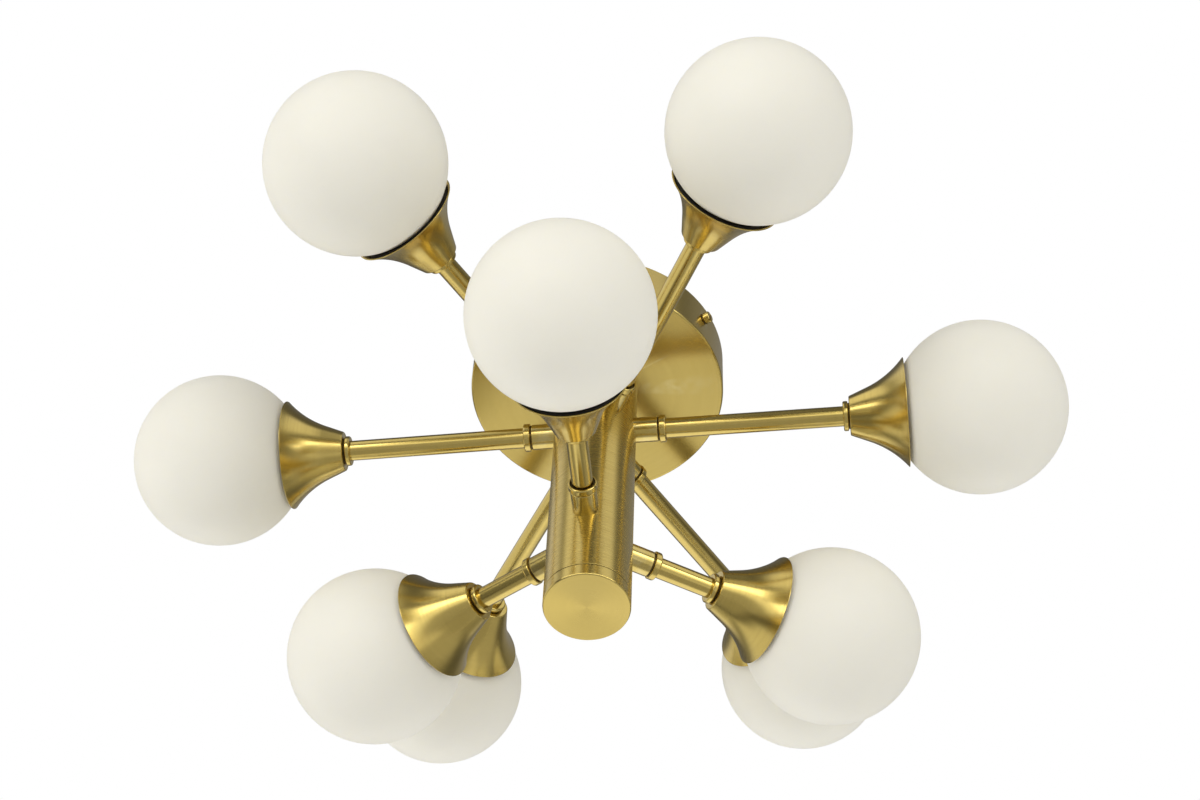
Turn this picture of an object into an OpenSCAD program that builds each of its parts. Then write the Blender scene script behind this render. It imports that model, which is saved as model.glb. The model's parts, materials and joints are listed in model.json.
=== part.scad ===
// Nine-light ceiling fitting: a round canopy, a hanging column, and opal globes
// in brass bell cups on six upper and three lower arms.
// Millimetres. The origin is the centre of the ceiling face, and +Z points up.
// A bearing is an angle about the column: 0 is along -Y, and 90 is along +X.

/* [Overall] */
// Distance from the ceiling to the bottom of the column
drop = 267.4; // [230:0.2:340]
// Distance from the column's axis to the centre of an upper globe
upper_reach = 266; // [220:1:340]
// Distance from the column's axis to the centre of a lower globe
lower_reach = 182; // [160:1:260]
// Distance from the ceiling down to the upper arms
upper_depth = 84.4; // [70:0.2:110]
// Distance from the ceiling down to the lower arms
lower_depth = 201; // [150:0.5:215]
// Bearing of each upper arm, set by hand near every 60 degrees
upper_bearings = [29.2, 90, 150.7, 211.9, 269.6, 330.5]; // [0:0.1:360]
// Bearing of each lower arm, set by hand near every 120 degrees
lower_bearings = [0.5, 122.2, 240.3]; // [0:0.1:360]

/* [Canopy] */
// Outer diameter of the canopy
canopy_d = 178.8; // [140:0.2:260]
// Height of the canopy
canopy_h = 36.6; // [30:0.2:60]
// Sheet thickness of the canopy
canopy_t = 1.2; // [0.8:0.1:2]
// Radius of the edge between the canopy's face and its side
canopy_edge = 1.4; // [0.8:0.1:4]
// Diameter of the wire hole in the canopy's face
wire_hole_d = 30; // [28:1:34]
// Width of the slot that a side screw passes through
side_slot_w = 5; // [4.8:0.1:6]
// Length of the slot round the canopy's side
side_slot_len = 9; // [6:0.5:14]

/* [Ceiling bracket] */
// Bearing of the bracket and of the first side screw
bracket_bearing = 63; // [0:1:359]
// Width of the bracket
bracket_w = 26; // [22:1:40]
// Thickness of the bracket's steel
bracket_t = 2; // [1.5:0.1:3]
// Height of the bent ends that take the side screws
bracket_leg = 24; // [20:1:28]
// Distance from the ceiling down to the side screws
side_screw_depth = 14; // [10:0.5:20]
// Gap between the bracket's ends and the inside of the canopy
bracket_gap = 0.6; // [0.4:0.1:2]
// Distance between the two ceiling screw holes
ceiling_hole_spacing = 80; // [76:1:100]
// Diameter of a ceiling screw hole
ceiling_hole_d = 5.5; // [4.5:0.1:6.5]
// Diameter of the supply cable's hole
cable_hole_d = 9; // [7:0.5:9]
// Distance from the centre to the supply cable's hole
cable_hole_x = 31; // [30.5:0.5:32]

/* [Column] */
// Outer diameter of the column
column_d = 57; // [50:0.5:70]
// Wall thickness of the column
column_t = 1.5; // [1:0.1:2.5]
// Height of the ring inside the top of the column
head_h = 10; // [8:1:14]
// Side height of the end cap
cap_h = 9.5; // [6:0.5:16]
// Radius of the end cap's lower edge
cap_edge = 1; // [0.6:0.1:3]
// Height of the shadow groove above the end cap
cap_groove_h = 0.6; // [0.4:0.1:1.5]
// Depth of the shadow groove above the end cap
cap_groove_in = 0.9; // [0.5:0.1:1.2]
// Length of the end cap's spigot inside the column
cap_spigot = 14; // [8:1:24]
// Wall thickness of the end cap's spigot
cap_spigot_t = 2.5; // [2:0.5:4]

/* [Arms] */
// Outer diameter of an arm tube
tube_d = 14; // [12:0.2:16.8]
// Wall of the boss round the arm tube
boss_wall = 1.8; // [1.5:0.1:4]
// Length of the boss outside the column
boss_len = 15.5; // [13.5:0.5:20]
// Depth of the socket in the boss that holds the arm tube
boss_socket = 9; // [6:0.5:10]
// Wall of the boss's spigot through the column, round its bore
boss_spigot_wall = 1.45; // [1.2:0.05:1.9]
// Wall of the collar nut round the arm tube
collar_wall = 2.7; // [2.2:0.1:6]
// Length of the collar nut
collar_len = 4.6; // [3:0.2:8]
// Width of the groove between the boss and the collar nut
collar_groove = 1; // [0.5:0.1:2]
// Wall of the collar nut at the bottom of that groove
collar_hub_wall = 1.2; // [0.8:0.1:1.5]
// Wall of the ring behind the cup, round the arm tube
ring_wall = 3.4; // [2.4:0.1:5]
// Length of the ring behind the cup
ring_len = 3.5; // [2:0.1:6]
// Width of the gap between that ring and the cup
ring_gap = 0.9; // [0.4:0.1:2]
// Wall of that ring's hub at the bottom of that gap
ring_hub_wall = 2; // [1.2:0.1:2.2]
// Radius of the small rounded edges on bosses, nuts and rings
small_edge = 0.6; // [0.2:0.1:0.8]

/* [Cups] */
// Length of a bell cup
cup_len = 39; // [32:0.5:50]
// Sheet thickness of a bell cup
cup_t = 0.9; // [0.6:0.1:1.5]
// Radius of the cup at its narrow end
cup_throat_r = 13.6; // [12.5:0.1:16]
// Half angle of the cup's straight part, in degrees
cup_angle = 22.2; // [18:0.2:26]
// Length of the cup's straight part
cup_straight = 12.8; // [8:0.2:16]
// Radius of the cup's flare
cup_flare = 65; // [60:1:100]
// Gap between the cup's rim and the globe
rim_gap = 3.4; // [2:0.1:5]

/* [Globes] */
// Outer diameter of a globe
globe_d = 120; // [100:1:150]
// Thickness of the glass
glass_t = 2.5; // [2:0.1:4]
// Outer diameter of the globe's neck
neck_d = 37; // [36.8:0.1:38]
// Distance of the neck's end from the cup's narrow end
neck_setback = 19; // [17.5:0.5:22]
// Gap between the neck and the lampholder's thread
neck_fit = 0.4; // [0.3:0.1:0.6]
// Gap between the rubber ring and the parts round it
seal_gap = 0.3; // [0.2:0.1:0.5]
// Depth of the rubber ring's face inside the cup's rim
seal_recess = 1.6; // [1:0.1:3]
// Length of the rubber ring along the arm
seal_len = 5.5; // [3:0.5:7]

/* [Lamps] */
// Diameter of the hollow threaded nipple
nipple_d = 10; // [8:0.5:10]
// Bore of the hollow threaded nipple
nipple_bore = 6.6; // [5:0.2:7]
// Length of the nipple inside the arm tube
nipple_in_tube = 14; // [8:1:20]
// Depth of the nipple inside the lampholder
nipple_in_holder = 8; // [5:0.5:10]
// Length of a lampholder
holder_len = 28; // [24:0.5:29]
// Diameter of the lampholder's foot
holder_foot_d = 22; // [18:0.5:24]
// Length of the lampholder's foot
holder_foot = 9; // [8:0.5:10]
// Distance between the two lamp pins
pin_spacing = 9; // [6:0.5:10]
// Diameter of a lamp pin
pin_d = 1.5; // [1:0.1:2]
// Length of a lamp pin inside the lampholder
pin_len = 12; // [8:0.5:14]
// Gap round a lamp pin and under the lamp
pin_fit = 0.35; // [0.3:0.05:0.6]
// Diameter of the lamp's glass
lamp_d = 13.6; // [12:0.2:18]
// Length of the lamp's glass, with its flat foot
lamp_len = 42; // [30:1:46]
// Length of the lamp's flat foot
lamp_foot = 9; // [6:0.5:12]
// Diameter of the pair of leads in each arm
lead_d = 3; // [2:0.2:3.6]
// Distance of the rising leads from the column's axis
lead_circle_r = 12; // [11:0.5:12.5]

/* [Fixings] */
// Thread diameter of the screws
screw_d = 4; // [3:0.5:4]
// Gap between a screw and its threaded hole
thread_fit = 0.05; // [0.02:0.01:0.1]
// Gap between a fixed piece and the bore that it sits in
bore_fit = 0.05; // [0.02:0.01:0.1]
// Extra radius of a clearance hole for a screw
screw_clear = 0.4; // [0.3:0.05:0.6]
// Head diameter of the inside screws
pan_head_d = 7.2; // [7:0.1:8]
// Head height of the inside screws
pan_head_h = 2.6; // [2:0.1:3.5]
// Distance of the column screws from the inside of the column's wall
column_screw_inset = 6.2; // [5.8:0.1:6.6]
// Thread length of a column screw
column_screw_len = 9; // [8:0.5:10]
// Head diameter of a side screw
side_head_d = 8; // [7:0.2:10]
// Head height of a side screw
side_head_h = 4.2; // [3:0.1:6]
// Distance of a side screw's head from the canopy
side_head_gap = 0.8; // [0.4:0.1:2]
// Length of a side screw's thread inside the bracket's end
side_screw_in = 5; // [3:0.5:7]
// Length of the terminal block along the bracket
block_len = 50; // [48:1:50]
// Width of the terminal block
block_w = 30; // [28:1:34]
// Height of the terminal block
block_h = 13; // [10:0.5:16]
// Distance of each block screw from the centre
block_screw_x = 20; // [19.5:0.5:20.5]

/* [Hidden] */
$fn = 96;
cut = 1;
flare_steps = 9;

canopy_r = canopy_d / 2;
canopy_in_r = canopy_r - canopy_t;
column_r = column_d / 2;
column_in_r = column_r - column_t;
tube_r = tube_d / 2;
screw_r = screw_d / 2;
globe_r = globe_d / 2;
nipple_r = nipple_d / 2;
tube_bore_r = nipple_r + bore_fit;
neck_in_r = neck_d / 2 - glass_t;
holder_r = neck_in_r - neck_fit;
column_screw_r = column_in_r - column_screw_inset;
boss_r = tube_r + boss_wall;
boss_spigot_r = tube_bore_r + boss_spigot_wall;
collar_r = tube_r + collar_wall;
collar_hub_r = tube_r + collar_hub_wall;
ring_r = tube_r + ring_wall;
ring_hub_r = tube_r + ring_hub_wall;

// Bearing, reach and depth of each arm
arms = concat(
    [for (b = upper_bearings) [b, upper_reach, upper_depth]],
    [for (b = lower_bearings) [b, lower_reach, lower_depth]]
);
upper_count = len(upper_bearings);
arm_numbers = [0:len(arms) - 1];
function arm_name(k) =
    k < upper_count ? str("upper_", k + 1) : str("lower_", k + 1 - upper_count);

// The cup's outline: a cone, then a flare of constant radius.
// x is the distance from the cup's narrow end.
function flare_sine(x) = sin(cup_angle) + (x - cup_straight) / cup_flare;
function wall_angle(x) = x < cup_straight ? cup_angle : asin(flare_sine(x));
function cup_r(x) =
    cup_throat_r + tan(cup_angle) * min(x, cup_straight)
    + cup_flare * (cos(cup_angle) - cos(wall_angle(x)));
function cup_in_r(x) = cup_r(x) - cup_t / cos(wall_angle(x));

// Distances from a globe's centre back along its arm
rim_back = sqrt(pow(globe_r + rim_gap, 2) - pow(cup_r(cup_len), 2));
cup_back = rim_back + cup_len;
neck_back = cup_back - neck_setback;
holder_back = cup_back - cup_t;
holder_face = holder_back - holder_len;
// Distances from the column's axis out along an arm
function reach(k) = arms[k][1];
function cup_start(k) = reach(k) - cup_back;
boss_end = column_r + boss_len;
tube_start = boss_end - boss_socket;

// Where the side screws pass the bracket's bent ends and the canopy
leg_x = sqrt(pow(canopy_in_r - bracket_gap, 2) - pow(bracket_w / 2, 2));
side_head_x = canopy_r + side_head_gap;

column_top = -canopy_h;
cap_top = -drop + cap_h;
block_bottom = -bracket_t - block_h;

brass = "#b39a55";
opal = "#f0ede0";
steel = "#b9bcc0";
ceramic = "#e9e6de";
rubber = "#1b1a18";

// Places a child, built along +Z from the column's axis, on an arm.
module on_arm(k)
    translate([0, 0, -arms[k][2]])
        rotate([0, 0, arms[k][0] - 90])
            rotate([0, 90, 0])
                children();

// Places a child, built along +Z, at a globe's centre.
module at_globe(k)
    on_arm(k)
        translate([0, 0, reach(k)])
            children();

// Turns a child, built along +X, to the bracket's direction.
module on_bracket()
    rotate([0, 0, bracket_bearing - 90])
        children();

// A cylinder between two heights.
module rod(r, from, to)
    translate([0, 0, from])
        cylinder(r = r, h = to - from);

// A ring between two heights, with its outer edges broken.
module edged_ring(r, r_in, from, to, edge)
    rotate_extrude()
        polygon([
            [r_in, from],
            [r - edge, from],
            [r, from + edge],
            [r, to - edge],
            [r - edge, to],
            [r_in, to]
        ]);

// A slot through the canopy's side: two round ends and a flat middle.
module side_slot() {
    half = (side_slot_len - side_slot_w) / 2;
    translate([canopy_r, 0, -side_screw_depth])
        rotate([0, 90, 0]) {
            for (y = [-half, half])
                translate([0, y, 0])
                    cylinder(d = side_slot_w, h = 4 * canopy_t, center = true);
            cube([side_slot_w, 2 * half, 4 * canopy_t], center = true);
        }
}

module ceiling_bracket()
    color(steel)
        on_bracket()
            difference() {
                union() {
                    translate([-leg_x, -bracket_w / 2, -bracket_t])
                        cube([2 * leg_x, bracket_w, bracket_t]);
                    for (side = [0, 180])
                        rotate([0, 0, side])
                            translate([leg_x - bracket_t, -bracket_w / 2, -bracket_leg])
                                cube([bracket_t, bracket_w, bracket_leg]);
                }
                for (side = [-1, 1]) {
                    translate([side * ceiling_hole_spacing / 2, 0, -bracket_t - cut])
                        cylinder(d = ceiling_hole_d, h = bracket_t + 2 * cut);
                    translate([side * block_screw_x, 0, -bracket_t - cut])
                        cylinder(r = screw_r + thread_fit, h = bracket_t + 2 * cut);
                }
                translate([cable_hole_x, 0, -bracket_t - cut])
                    cylinder(d = cable_hole_d, h = bracket_t + 2 * cut);
                translate([0, 0, -side_screw_depth])
                    rotate([0, 90, 0])
                        cylinder(r = screw_r + thread_fit, h = 2 * canopy_r, center = true);
            }

module terminal_block()
    color(ceramic)
        on_bracket()
            difference() {
                translate([-block_len / 2, -block_w / 2, block_bottom])
                    cube([block_len, block_w, block_h]);
                for (side = [-1, 1])
                    translate([side * block_screw_x, 0, block_bottom - cut]) {
                        cylinder(r = screw_r + screw_clear, h = block_h + 2 * cut);
                        cylinder(r = pan_head_d / 2 + screw_clear, h = pan_head_h + cut);
                    }
            }

module canopy()
    color(brass)
        difference() {
            rotate_extrude()
                polygon([
                    [wire_hole_d / 2, -canopy_h],
                    [canopy_r - canopy_edge, -canopy_h],
                    [canopy_r - canopy_edge * 0.3, -canopy_h + canopy_edge * 0.3],
                    [canopy_r, -canopy_h + canopy_edge],
                    [canopy_r, 0],
                    [canopy_in_r, 0],
                    [canopy_in_r, -canopy_h + canopy_t],
                    [wire_hole_d / 2, -canopy_h + canopy_t]
                ]);
            column_screw_places()
                rod(screw_r + screw_clear, -canopy_h - cut, -canopy_h + canopy_t + cut);
            on_bracket() {
                side_slot();
                rotate([0, 0, 180])
                    side_slot();
            }
        }

// One side screw: a round slotted head on a thread, along +X.
module side_screw()
    translate([0, 0, -side_screw_depth])
        rotate([0, 90, 0])
            difference() {
                union() {
                    rod(screw_r, leg_x - side_screw_in, side_head_x + cut);
                    edged_ring(
                        side_head_d / 2, 0, side_head_x, side_head_x + side_head_h, small_edge
                    );
                }
                translate([0, 0, side_head_x + side_head_h])
                    cube([side_head_d + cut, 1, side_head_h / 2], center = true);
            }

module canopy_screw_right()
    color(brass)
        on_bracket()
            side_screw();

module canopy_screw_left()
    color(brass)
        on_bracket()
            rotate([0, 0, 180])
                side_screw();

module column_screw_places()
    for (turn = [0, 120, 240])
        rotate([0, 0, turn])
            translate([column_screw_r, 0, 0])
                children();

// Three screws hold the column to the canopy, and two hold the terminal block.
module inside_screws()
    color(steel) {
        column_screw_places() {
            floor_z = -canopy_h + canopy_t;
            rod(screw_r, floor_z - column_screw_len, floor_z + cut);
            rod(pan_head_d / 2, floor_z, floor_z + pan_head_h);
        }
        on_bracket()
            for (side = [-1, 1])
                translate([side * block_screw_x, 0, 0]) {
                    rod(screw_r, block_bottom + cut, -bore_fit);
                    rod(pan_head_d / 2, block_bottom, block_bottom + pan_head_h);
                }
    }

module column_tube()
    color(brass)
        difference() {
            rod(column_r, cap_top + cap_groove_h, column_top);
            rod(column_in_r, cap_top - cut, column_top + cut);
            for (k = arm_numbers)
                on_arm(k)
                    rod(boss_spigot_r, column_in_r / 2, column_r + cut);
        }

module column_head()
    color(steel)
        difference() {
            rod(column_in_r - bore_fit, column_top - head_h, column_top);
            rod(wire_hole_d / 2, column_top - head_h - cut, column_top + cut);
            column_screw_places()
                rod(screw_r + thread_fit, column_top - head_h - cut, column_top + cut);
        }

module end_cap()
    color(brass)
        rotate_extrude()
            polygon([
                [0, -drop],
                [column_r - cap_edge, -drop],
                [column_r - cap_edge * 0.3, -drop + cap_edge * 0.3],
                [column_r, -drop + cap_edge],
                [column_r, cap_top],
                [column_r - cap_groove_in, cap_top],
                [column_r - cap_groove_in, cap_top + cap_groove_h],
                [column_in_r - bore_fit, cap_top + cap_groove_h],
                [column_in_r - bore_fit, cap_top + cap_spigot],
                [column_in_r - bore_fit - cap_spigot_t, cap_top + cap_spigot],
                [column_in_r - bore_fit - cap_spigot_t, cap_top],
                [0, cap_top]
            ]);

module arm_bosses()
    color(brass)
        for (k = arm_numbers)
            on_arm(k)
                difference() {
                    union() {
                        difference() {
                            edged_ring(boss_r, 0, column_in_r / 2, boss_end, small_edge);
                            rotate([0, 90, 0])
                                cylinder(r = column_r, h = 4 * boss_r, center = true);
                        }
                        rod(boss_spigot_r, column_in_r - cut, column_r + cut);
                    }
                    rod(tube_bore_r, 0, boss_end + cut);
                    rod(tube_r + bore_fit, tube_start, boss_end + cut);
                }

// A collar nut: a narrow hub against the boss, and a countersink round the tube.
module collar_nuts()
    color(brass)
        for (k = arm_numbers)
            on_arm(k) {
                start = boss_end + collar_groove;
                end = start + collar_len;
                lip = collar_wall / 2;
                rotate_extrude()
                    polygon([
                        [tube_r + bore_fit, boss_end],
                        [collar_hub_r, boss_end],
                        [collar_hub_r, start],
                        [collar_r - small_edge, start],
                        [collar_r, start + small_edge],
                        [collar_r, end - small_edge],
                        [collar_r - small_edge, end],
                        [tube_r + lip, end],
                        [tube_r + bore_fit, end - lip]
                    ]);
            }

module cup_rings()
    color(brass)
        for (k = arm_numbers)
            on_arm(k) {
                front = cup_start(k) - ring_gap;
                edged_ring(ring_r, tube_r + bore_fit, front - ring_len, front, small_edge);
                difference() {
                    rod(ring_hub_r, front - cut, cup_start(k));
                    rod(tube_r + bore_fit, front - 2 * cut, cup_start(k) + cut);
                }
            }

module hollow_nipples()
    color(steel)
        for (k = arm_numbers)
            on_arm(k)
                difference() {
                    rod(
                        nipple_r,
                        cup_start(k) - nipple_in_tube,
                        cup_start(k) + cup_t + nipple_in_holder
                    );
                    rod(nipple_bore / 2, 0, reach(k));
                }

module lampholders()
    color(ceramic)
        for (k = arm_numbers)
            at_globe(k)
                difference() {
                    union() {
                        rod(holder_foot_d / 2, -holder_back, -holder_back + holder_foot + cut);
                        rod(holder_r, -holder_back + holder_foot, -holder_face);
                    }
                    rod(
                        nipple_r + bore_fit,
                        -holder_back - cut,
                        -holder_back + nipple_in_holder
                    );
                    for (y = [-pin_spacing / 2, pin_spacing / 2])
                        translate([0, y, 0])
                            rod(pin_d / 2 + pin_fit, -holder_face - pin_len - cut, 0);
                }

// Each pair of leads runs out from its lampholder, bends, and rises to the block.
module lamp_leads()
    color(ceramic)
        for (k = arm_numbers) {
            on_arm(k)
                rod(lead_d / 2, lead_circle_r, cup_start(k) + cup_t + nipple_in_holder);
            rotate([0, 0, arms[k][0] - 90])
                translate([lead_circle_r, 0, 0]) {
                    rod(lead_d / 2, -arms[k][2], block_bottom);
                    translate([0, 0, -arms[k][2]])
                        sphere(d = lead_d);
                }
        }

module arm_tube(k)
    color(brass)
        on_arm(k)
            difference() {
                rod(tube_r, tube_start, cup_start(k));
                rod(tube_bore_r, tube_start - cut, cup_start(k) + cut);
            }

module bell_cup(k)
    color(brass)
        on_arm(k)
            translate([0, 0, cup_start(k)]) {
                flare_len = cup_len - cup_straight;
                flare_x = [for (i = [0:flare_steps]) cup_straight + flare_len * i / flare_steps];
                rotate_extrude()
                    polygon(concat(
                        [[nipple_r + bore_fit, 0], [cup_throat_r - cup_t / 2, 0]],
                        [[cup_r(cup_t / 2), cup_t / 2]],
                        [for (x = flare_x) [cup_r(x), x]],
                        [for (i = [flare_steps:-1:0]) [cup_in_r(flare_x[i]), flare_x[i]]],
                        [[cup_in_r(cup_t), cup_t], [nipple_r + bore_fit, cup_t]]
                    ));
            }

// The rubber ring fills the cup's mouth round the globe's neck.
module seal_ring(k) {
    face_x = cup_len - seal_recess;
    rear_x = face_x - seal_len;
    color(rubber)
        at_globe(k)
            difference() {
                translate([0, 0, -cup_back])
                    rotate_extrude()
                        polygon([
                            [neck_d / 2 + seal_gap, rear_x],
                            [cup_in_r(rear_x) - seal_gap, rear_x],
                            [cup_in_r(face_x) - seal_gap, face_x],
                            [neck_d / 2 + seal_gap, face_x]
                        ]);
                sphere(r = globe_r + seal_gap);
            }
}

module globe(k)
    color(opal)
        at_globe(k)
            difference() {
                union() {
                    sphere(r = globe_r);
                    rod(neck_d / 2, -neck_back, 0);
                }
                sphere(r = globe_r - glass_t);
                rod(neck_in_r, -neck_back - cut, 0);
            }

// A bi-pin lamp: two pins, a flat foot and a domed glass.
module lamp(k)
    color(opal)
        at_globe(k)
            translate([0, 0, -holder_face + pin_fit]) {
                for (y = [-pin_spacing / 2, pin_spacing / 2])
                    translate([0, y, 0])
                        rod(pin_d / 2, -pin_len, cut);
                translate([-pin_d, -lamp_d / 2, 0])
                    cube([2 * pin_d, lamp_d, lamp_foot]);
                rod(lamp_d / 2, lamp_foot - cut, lamp_len - lamp_d / 2);
                translate([0, 0, lamp_len - lamp_d / 2])
                    sphere(d = lamp_d);
            }

ceiling_bracket();
terminal_block();
canopy();
canopy_screw_right();
canopy_screw_left();
inside_screws();
column_tube();
column_head();
end_cap();
lamp_leads();
arm_bosses();
collar_nuts();
cup_rings();
hollow_nipples();
lampholders();
for (k = arm_numbers) {
    arm_tube(k);
    bell_cup(k);
    seal_ring(k);
    globe(k);
    lamp(k);
}
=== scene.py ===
"""Looks of a nine-arm ceiling light, built round its packed frame.

Every length is in metres. A turned piece is drawn as an outline of (radius, height) corners and spun about +Z.
A piece on an arm is drawn with its origin at the globe's centre and +Z pointing away from the column.
"""

import json
from math import asin, cos, hypot, pi, radians, sin, sqrt, tan

import bmesh
import bpy
from bpy.props import FloatProperty, FloatVectorProperty, PointerProperty
from mathutils import Matrix, Vector


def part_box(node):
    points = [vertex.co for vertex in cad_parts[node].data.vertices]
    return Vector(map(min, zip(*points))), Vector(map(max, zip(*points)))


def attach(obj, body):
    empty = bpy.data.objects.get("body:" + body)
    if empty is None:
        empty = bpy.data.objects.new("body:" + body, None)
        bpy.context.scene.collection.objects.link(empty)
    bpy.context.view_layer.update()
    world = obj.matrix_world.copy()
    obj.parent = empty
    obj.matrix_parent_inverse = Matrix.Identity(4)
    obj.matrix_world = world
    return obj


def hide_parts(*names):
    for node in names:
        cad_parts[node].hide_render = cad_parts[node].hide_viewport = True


bl_info = {
    "name": "Nine-Arm Ceiling Light",
    "version": (1, 0, 0),
    "blender": (4, 5, 0),
    "location": "3D View > Sidebar > Ceiling Light",
    "description": "Brushed brass and opal glass pieces of a ceiling light, and a studio to show them in",
    "category": "Object",
}

MM = 0.001
SCREW_PITCH = 0.7 * MM
SLIDE_FIT = 0.05 * MM  # what a turned part's bore leaves round a tube
THROUGH = 0.01  # how far a cutter stands out of what it cuts
ACROSS_THE_LINES = 0.25  # a quarter turn, so that highlights stretch across the brush lines

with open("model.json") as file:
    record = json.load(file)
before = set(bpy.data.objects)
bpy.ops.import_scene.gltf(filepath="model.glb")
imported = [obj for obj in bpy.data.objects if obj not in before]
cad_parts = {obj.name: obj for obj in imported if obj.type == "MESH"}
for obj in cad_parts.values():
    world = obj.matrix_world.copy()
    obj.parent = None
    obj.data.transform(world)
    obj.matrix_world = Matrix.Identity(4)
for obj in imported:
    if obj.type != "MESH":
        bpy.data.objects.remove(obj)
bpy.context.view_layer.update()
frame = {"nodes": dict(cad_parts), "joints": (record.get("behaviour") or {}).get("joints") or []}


# ---------------------------------------------------------------- sizes and colours

def length(name, default_mm, description):
    """A length property whose default is given in millimetres."""
    return FloatProperty(name=name, description=description, default=default_mm * MM, unit="LENGTH",
                         precision=5)


def share(name, default, description):
    """A property between 0 and 1."""
    return FloatProperty(name=name, description=description, default=default, min=0, max=1, subtype="FACTOR")


def colour(name, default, description):
    """A colour property in linear red, green and blue."""
    return FloatVectorProperty(name=name, description=description, default=default, size=3, min=0, max=1,
                               subtype="COLOR")


class CeilingLightCanopySizes(bpy.types.PropertyGroup):
    """Sizes of the canopy and of what is behind it"""
    canopy_radius: length("Canopy radius", 89.4, "Outer radius of the canopy")
    canopy_height: length("Canopy height", 36.6, "From the ceiling to the canopy's face")
    canopy_wall: length("Canopy wall", 1.2, "Thickness of the canopy's sheet")
    canopy_edge: length("Canopy edge", 1.4, "Radius between the canopy's face and its side")
    wire_hole_radius: length("Wire hole radius", 15, "Radius of the hole over the column")
    slot_width: length("Slot width", 5, "Width of the side slots")
    slot_length: length("Slot length", 9, "Length of the side slots")
    screw_depth: length("Side screw depth", 14, "From the ceiling down to the side screws")
    head_radius: length("Side screw head", 4, "Radius of a side screw's head")
    head_height: length("Side screw head height", 4.2, "Height of a side screw's head")
    head_start: length("Side screw head place", 90.2, "From the column's axis to a side screw's head")
    screw_start: length("Side screw end", 81.7, "From the column's axis to a side screw's end")
    bracket_width: length("Bracket width", 26, "Width of the steel strap")
    bracket_sheet: length("Bracket thickness", 2, "Thickness of the steel strap")
    bracket_leg: length("Bracket leg", 24, "Height of the strap's bent ends")
    bracket_half: length("Bracket half length", 86.63, "From the middle of the strap to its bent end")
    ceiling_hole: length("Ceiling hole radius", 2.75, "Radius of the two ceiling screw holes")
    ceiling_hole_place: length("Ceiling hole place", 40, "From the middle to each ceiling screw hole")
    cable_hole: length("Cable hole radius", 4.5, "Radius of the supply cable's hole")
    cable_hole_place: length("Cable hole place", 31, "From the middle to the supply cable's hole")
    block_length: length("Block length", 50, "Length of the terminal block")
    block_width: length("Block width", 30, "Width of the terminal block")
    block_height: length("Block height", 13, "Height of the terminal block")
    block_screw_place: length("Block screw place", 20, "From the middle to each block screw")
    screw_radius: length("Screw radius", 2, "Radius of the small screws' thread")
    pan_radius: length("Pan head radius", 3.6, "Radius of the inside screws' heads")
    pan_height: length("Pan head height", 2.6, "Height of the inside screws' heads")
    column_screw_circle: length("Column screw circle", 20.8, "From the axis to each column screw")
    column_screw_thread: length("Column screw thread", 9, "Length of a column screw's thread")


class CeilingLightColumnSizes(bpy.types.PropertyGroup):
    """Sizes of the column and its end cap"""
    column_radius: length("Column radius", 28.5, "Outer radius of the column")
    column_wall: length("Column wall", 1.5, "Thickness of the column's wall")
    cap_side: length("Cap side", 9.5, "Height of the end cap's side")
    cap_edge: length("Cap edge", 1.0, "Radius of the end cap's lower edge")
    groove_height: length("Groove height", 0.6, "Height of the shadow groove above the cap")
    groove_depth: length("Groove depth", 0.9, "Depth of the shadow groove above the cap")
    spigot: length("Spigot", 14, "Length of the cap's spigot inside the column")
    spigot_wall: length("Spigot wall", 2.5, "Thickness of the cap's spigot")


class CeilingLightArmSizes(bpy.types.PropertyGroup):
    """Sizes of the arms and their turned fittings"""
    tube_radius: length("Tube radius", 7, "Outer radius of an arm tube")
    tube_bore: length("Tube bore", 5.05, "Inner radius of an arm tube")
    tube_start: length("Tube start", 35, "From the column's axis to the tube's inner end")
    boss_radius: length("Boss radius", 8.8, "Outer radius of a boss")
    boss_end: length("Boss end", 44, "From the column's axis to the boss's end")
    collar_radius: length("Collar radius", 9.7, "Outer radius of a collar nut")
    collar_length: length("Collar length", 4.6, "Length of a collar nut")
    collar_groove: length("Collar groove", 1.0, "Width of the groove behind a collar nut")
    collar_hub: length("Collar hub", 8.2, "Radius at the bottom of that groove")
    ring_radius: length("Ring radius", 10.4, "Outer radius of the ring behind a cup")
    ring_length: length("Ring length", 3.5, "Length of the ring behind a cup")
    ring_gap: length("Ring gap", 0.9, "Gap between the ring and the cup")
    ring_hub: length("Ring hub", 9.0, "Radius at the bottom of that gap")
    small_edge: length("Small edge", 0.7, "Radius of the small rounded edges")


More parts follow.
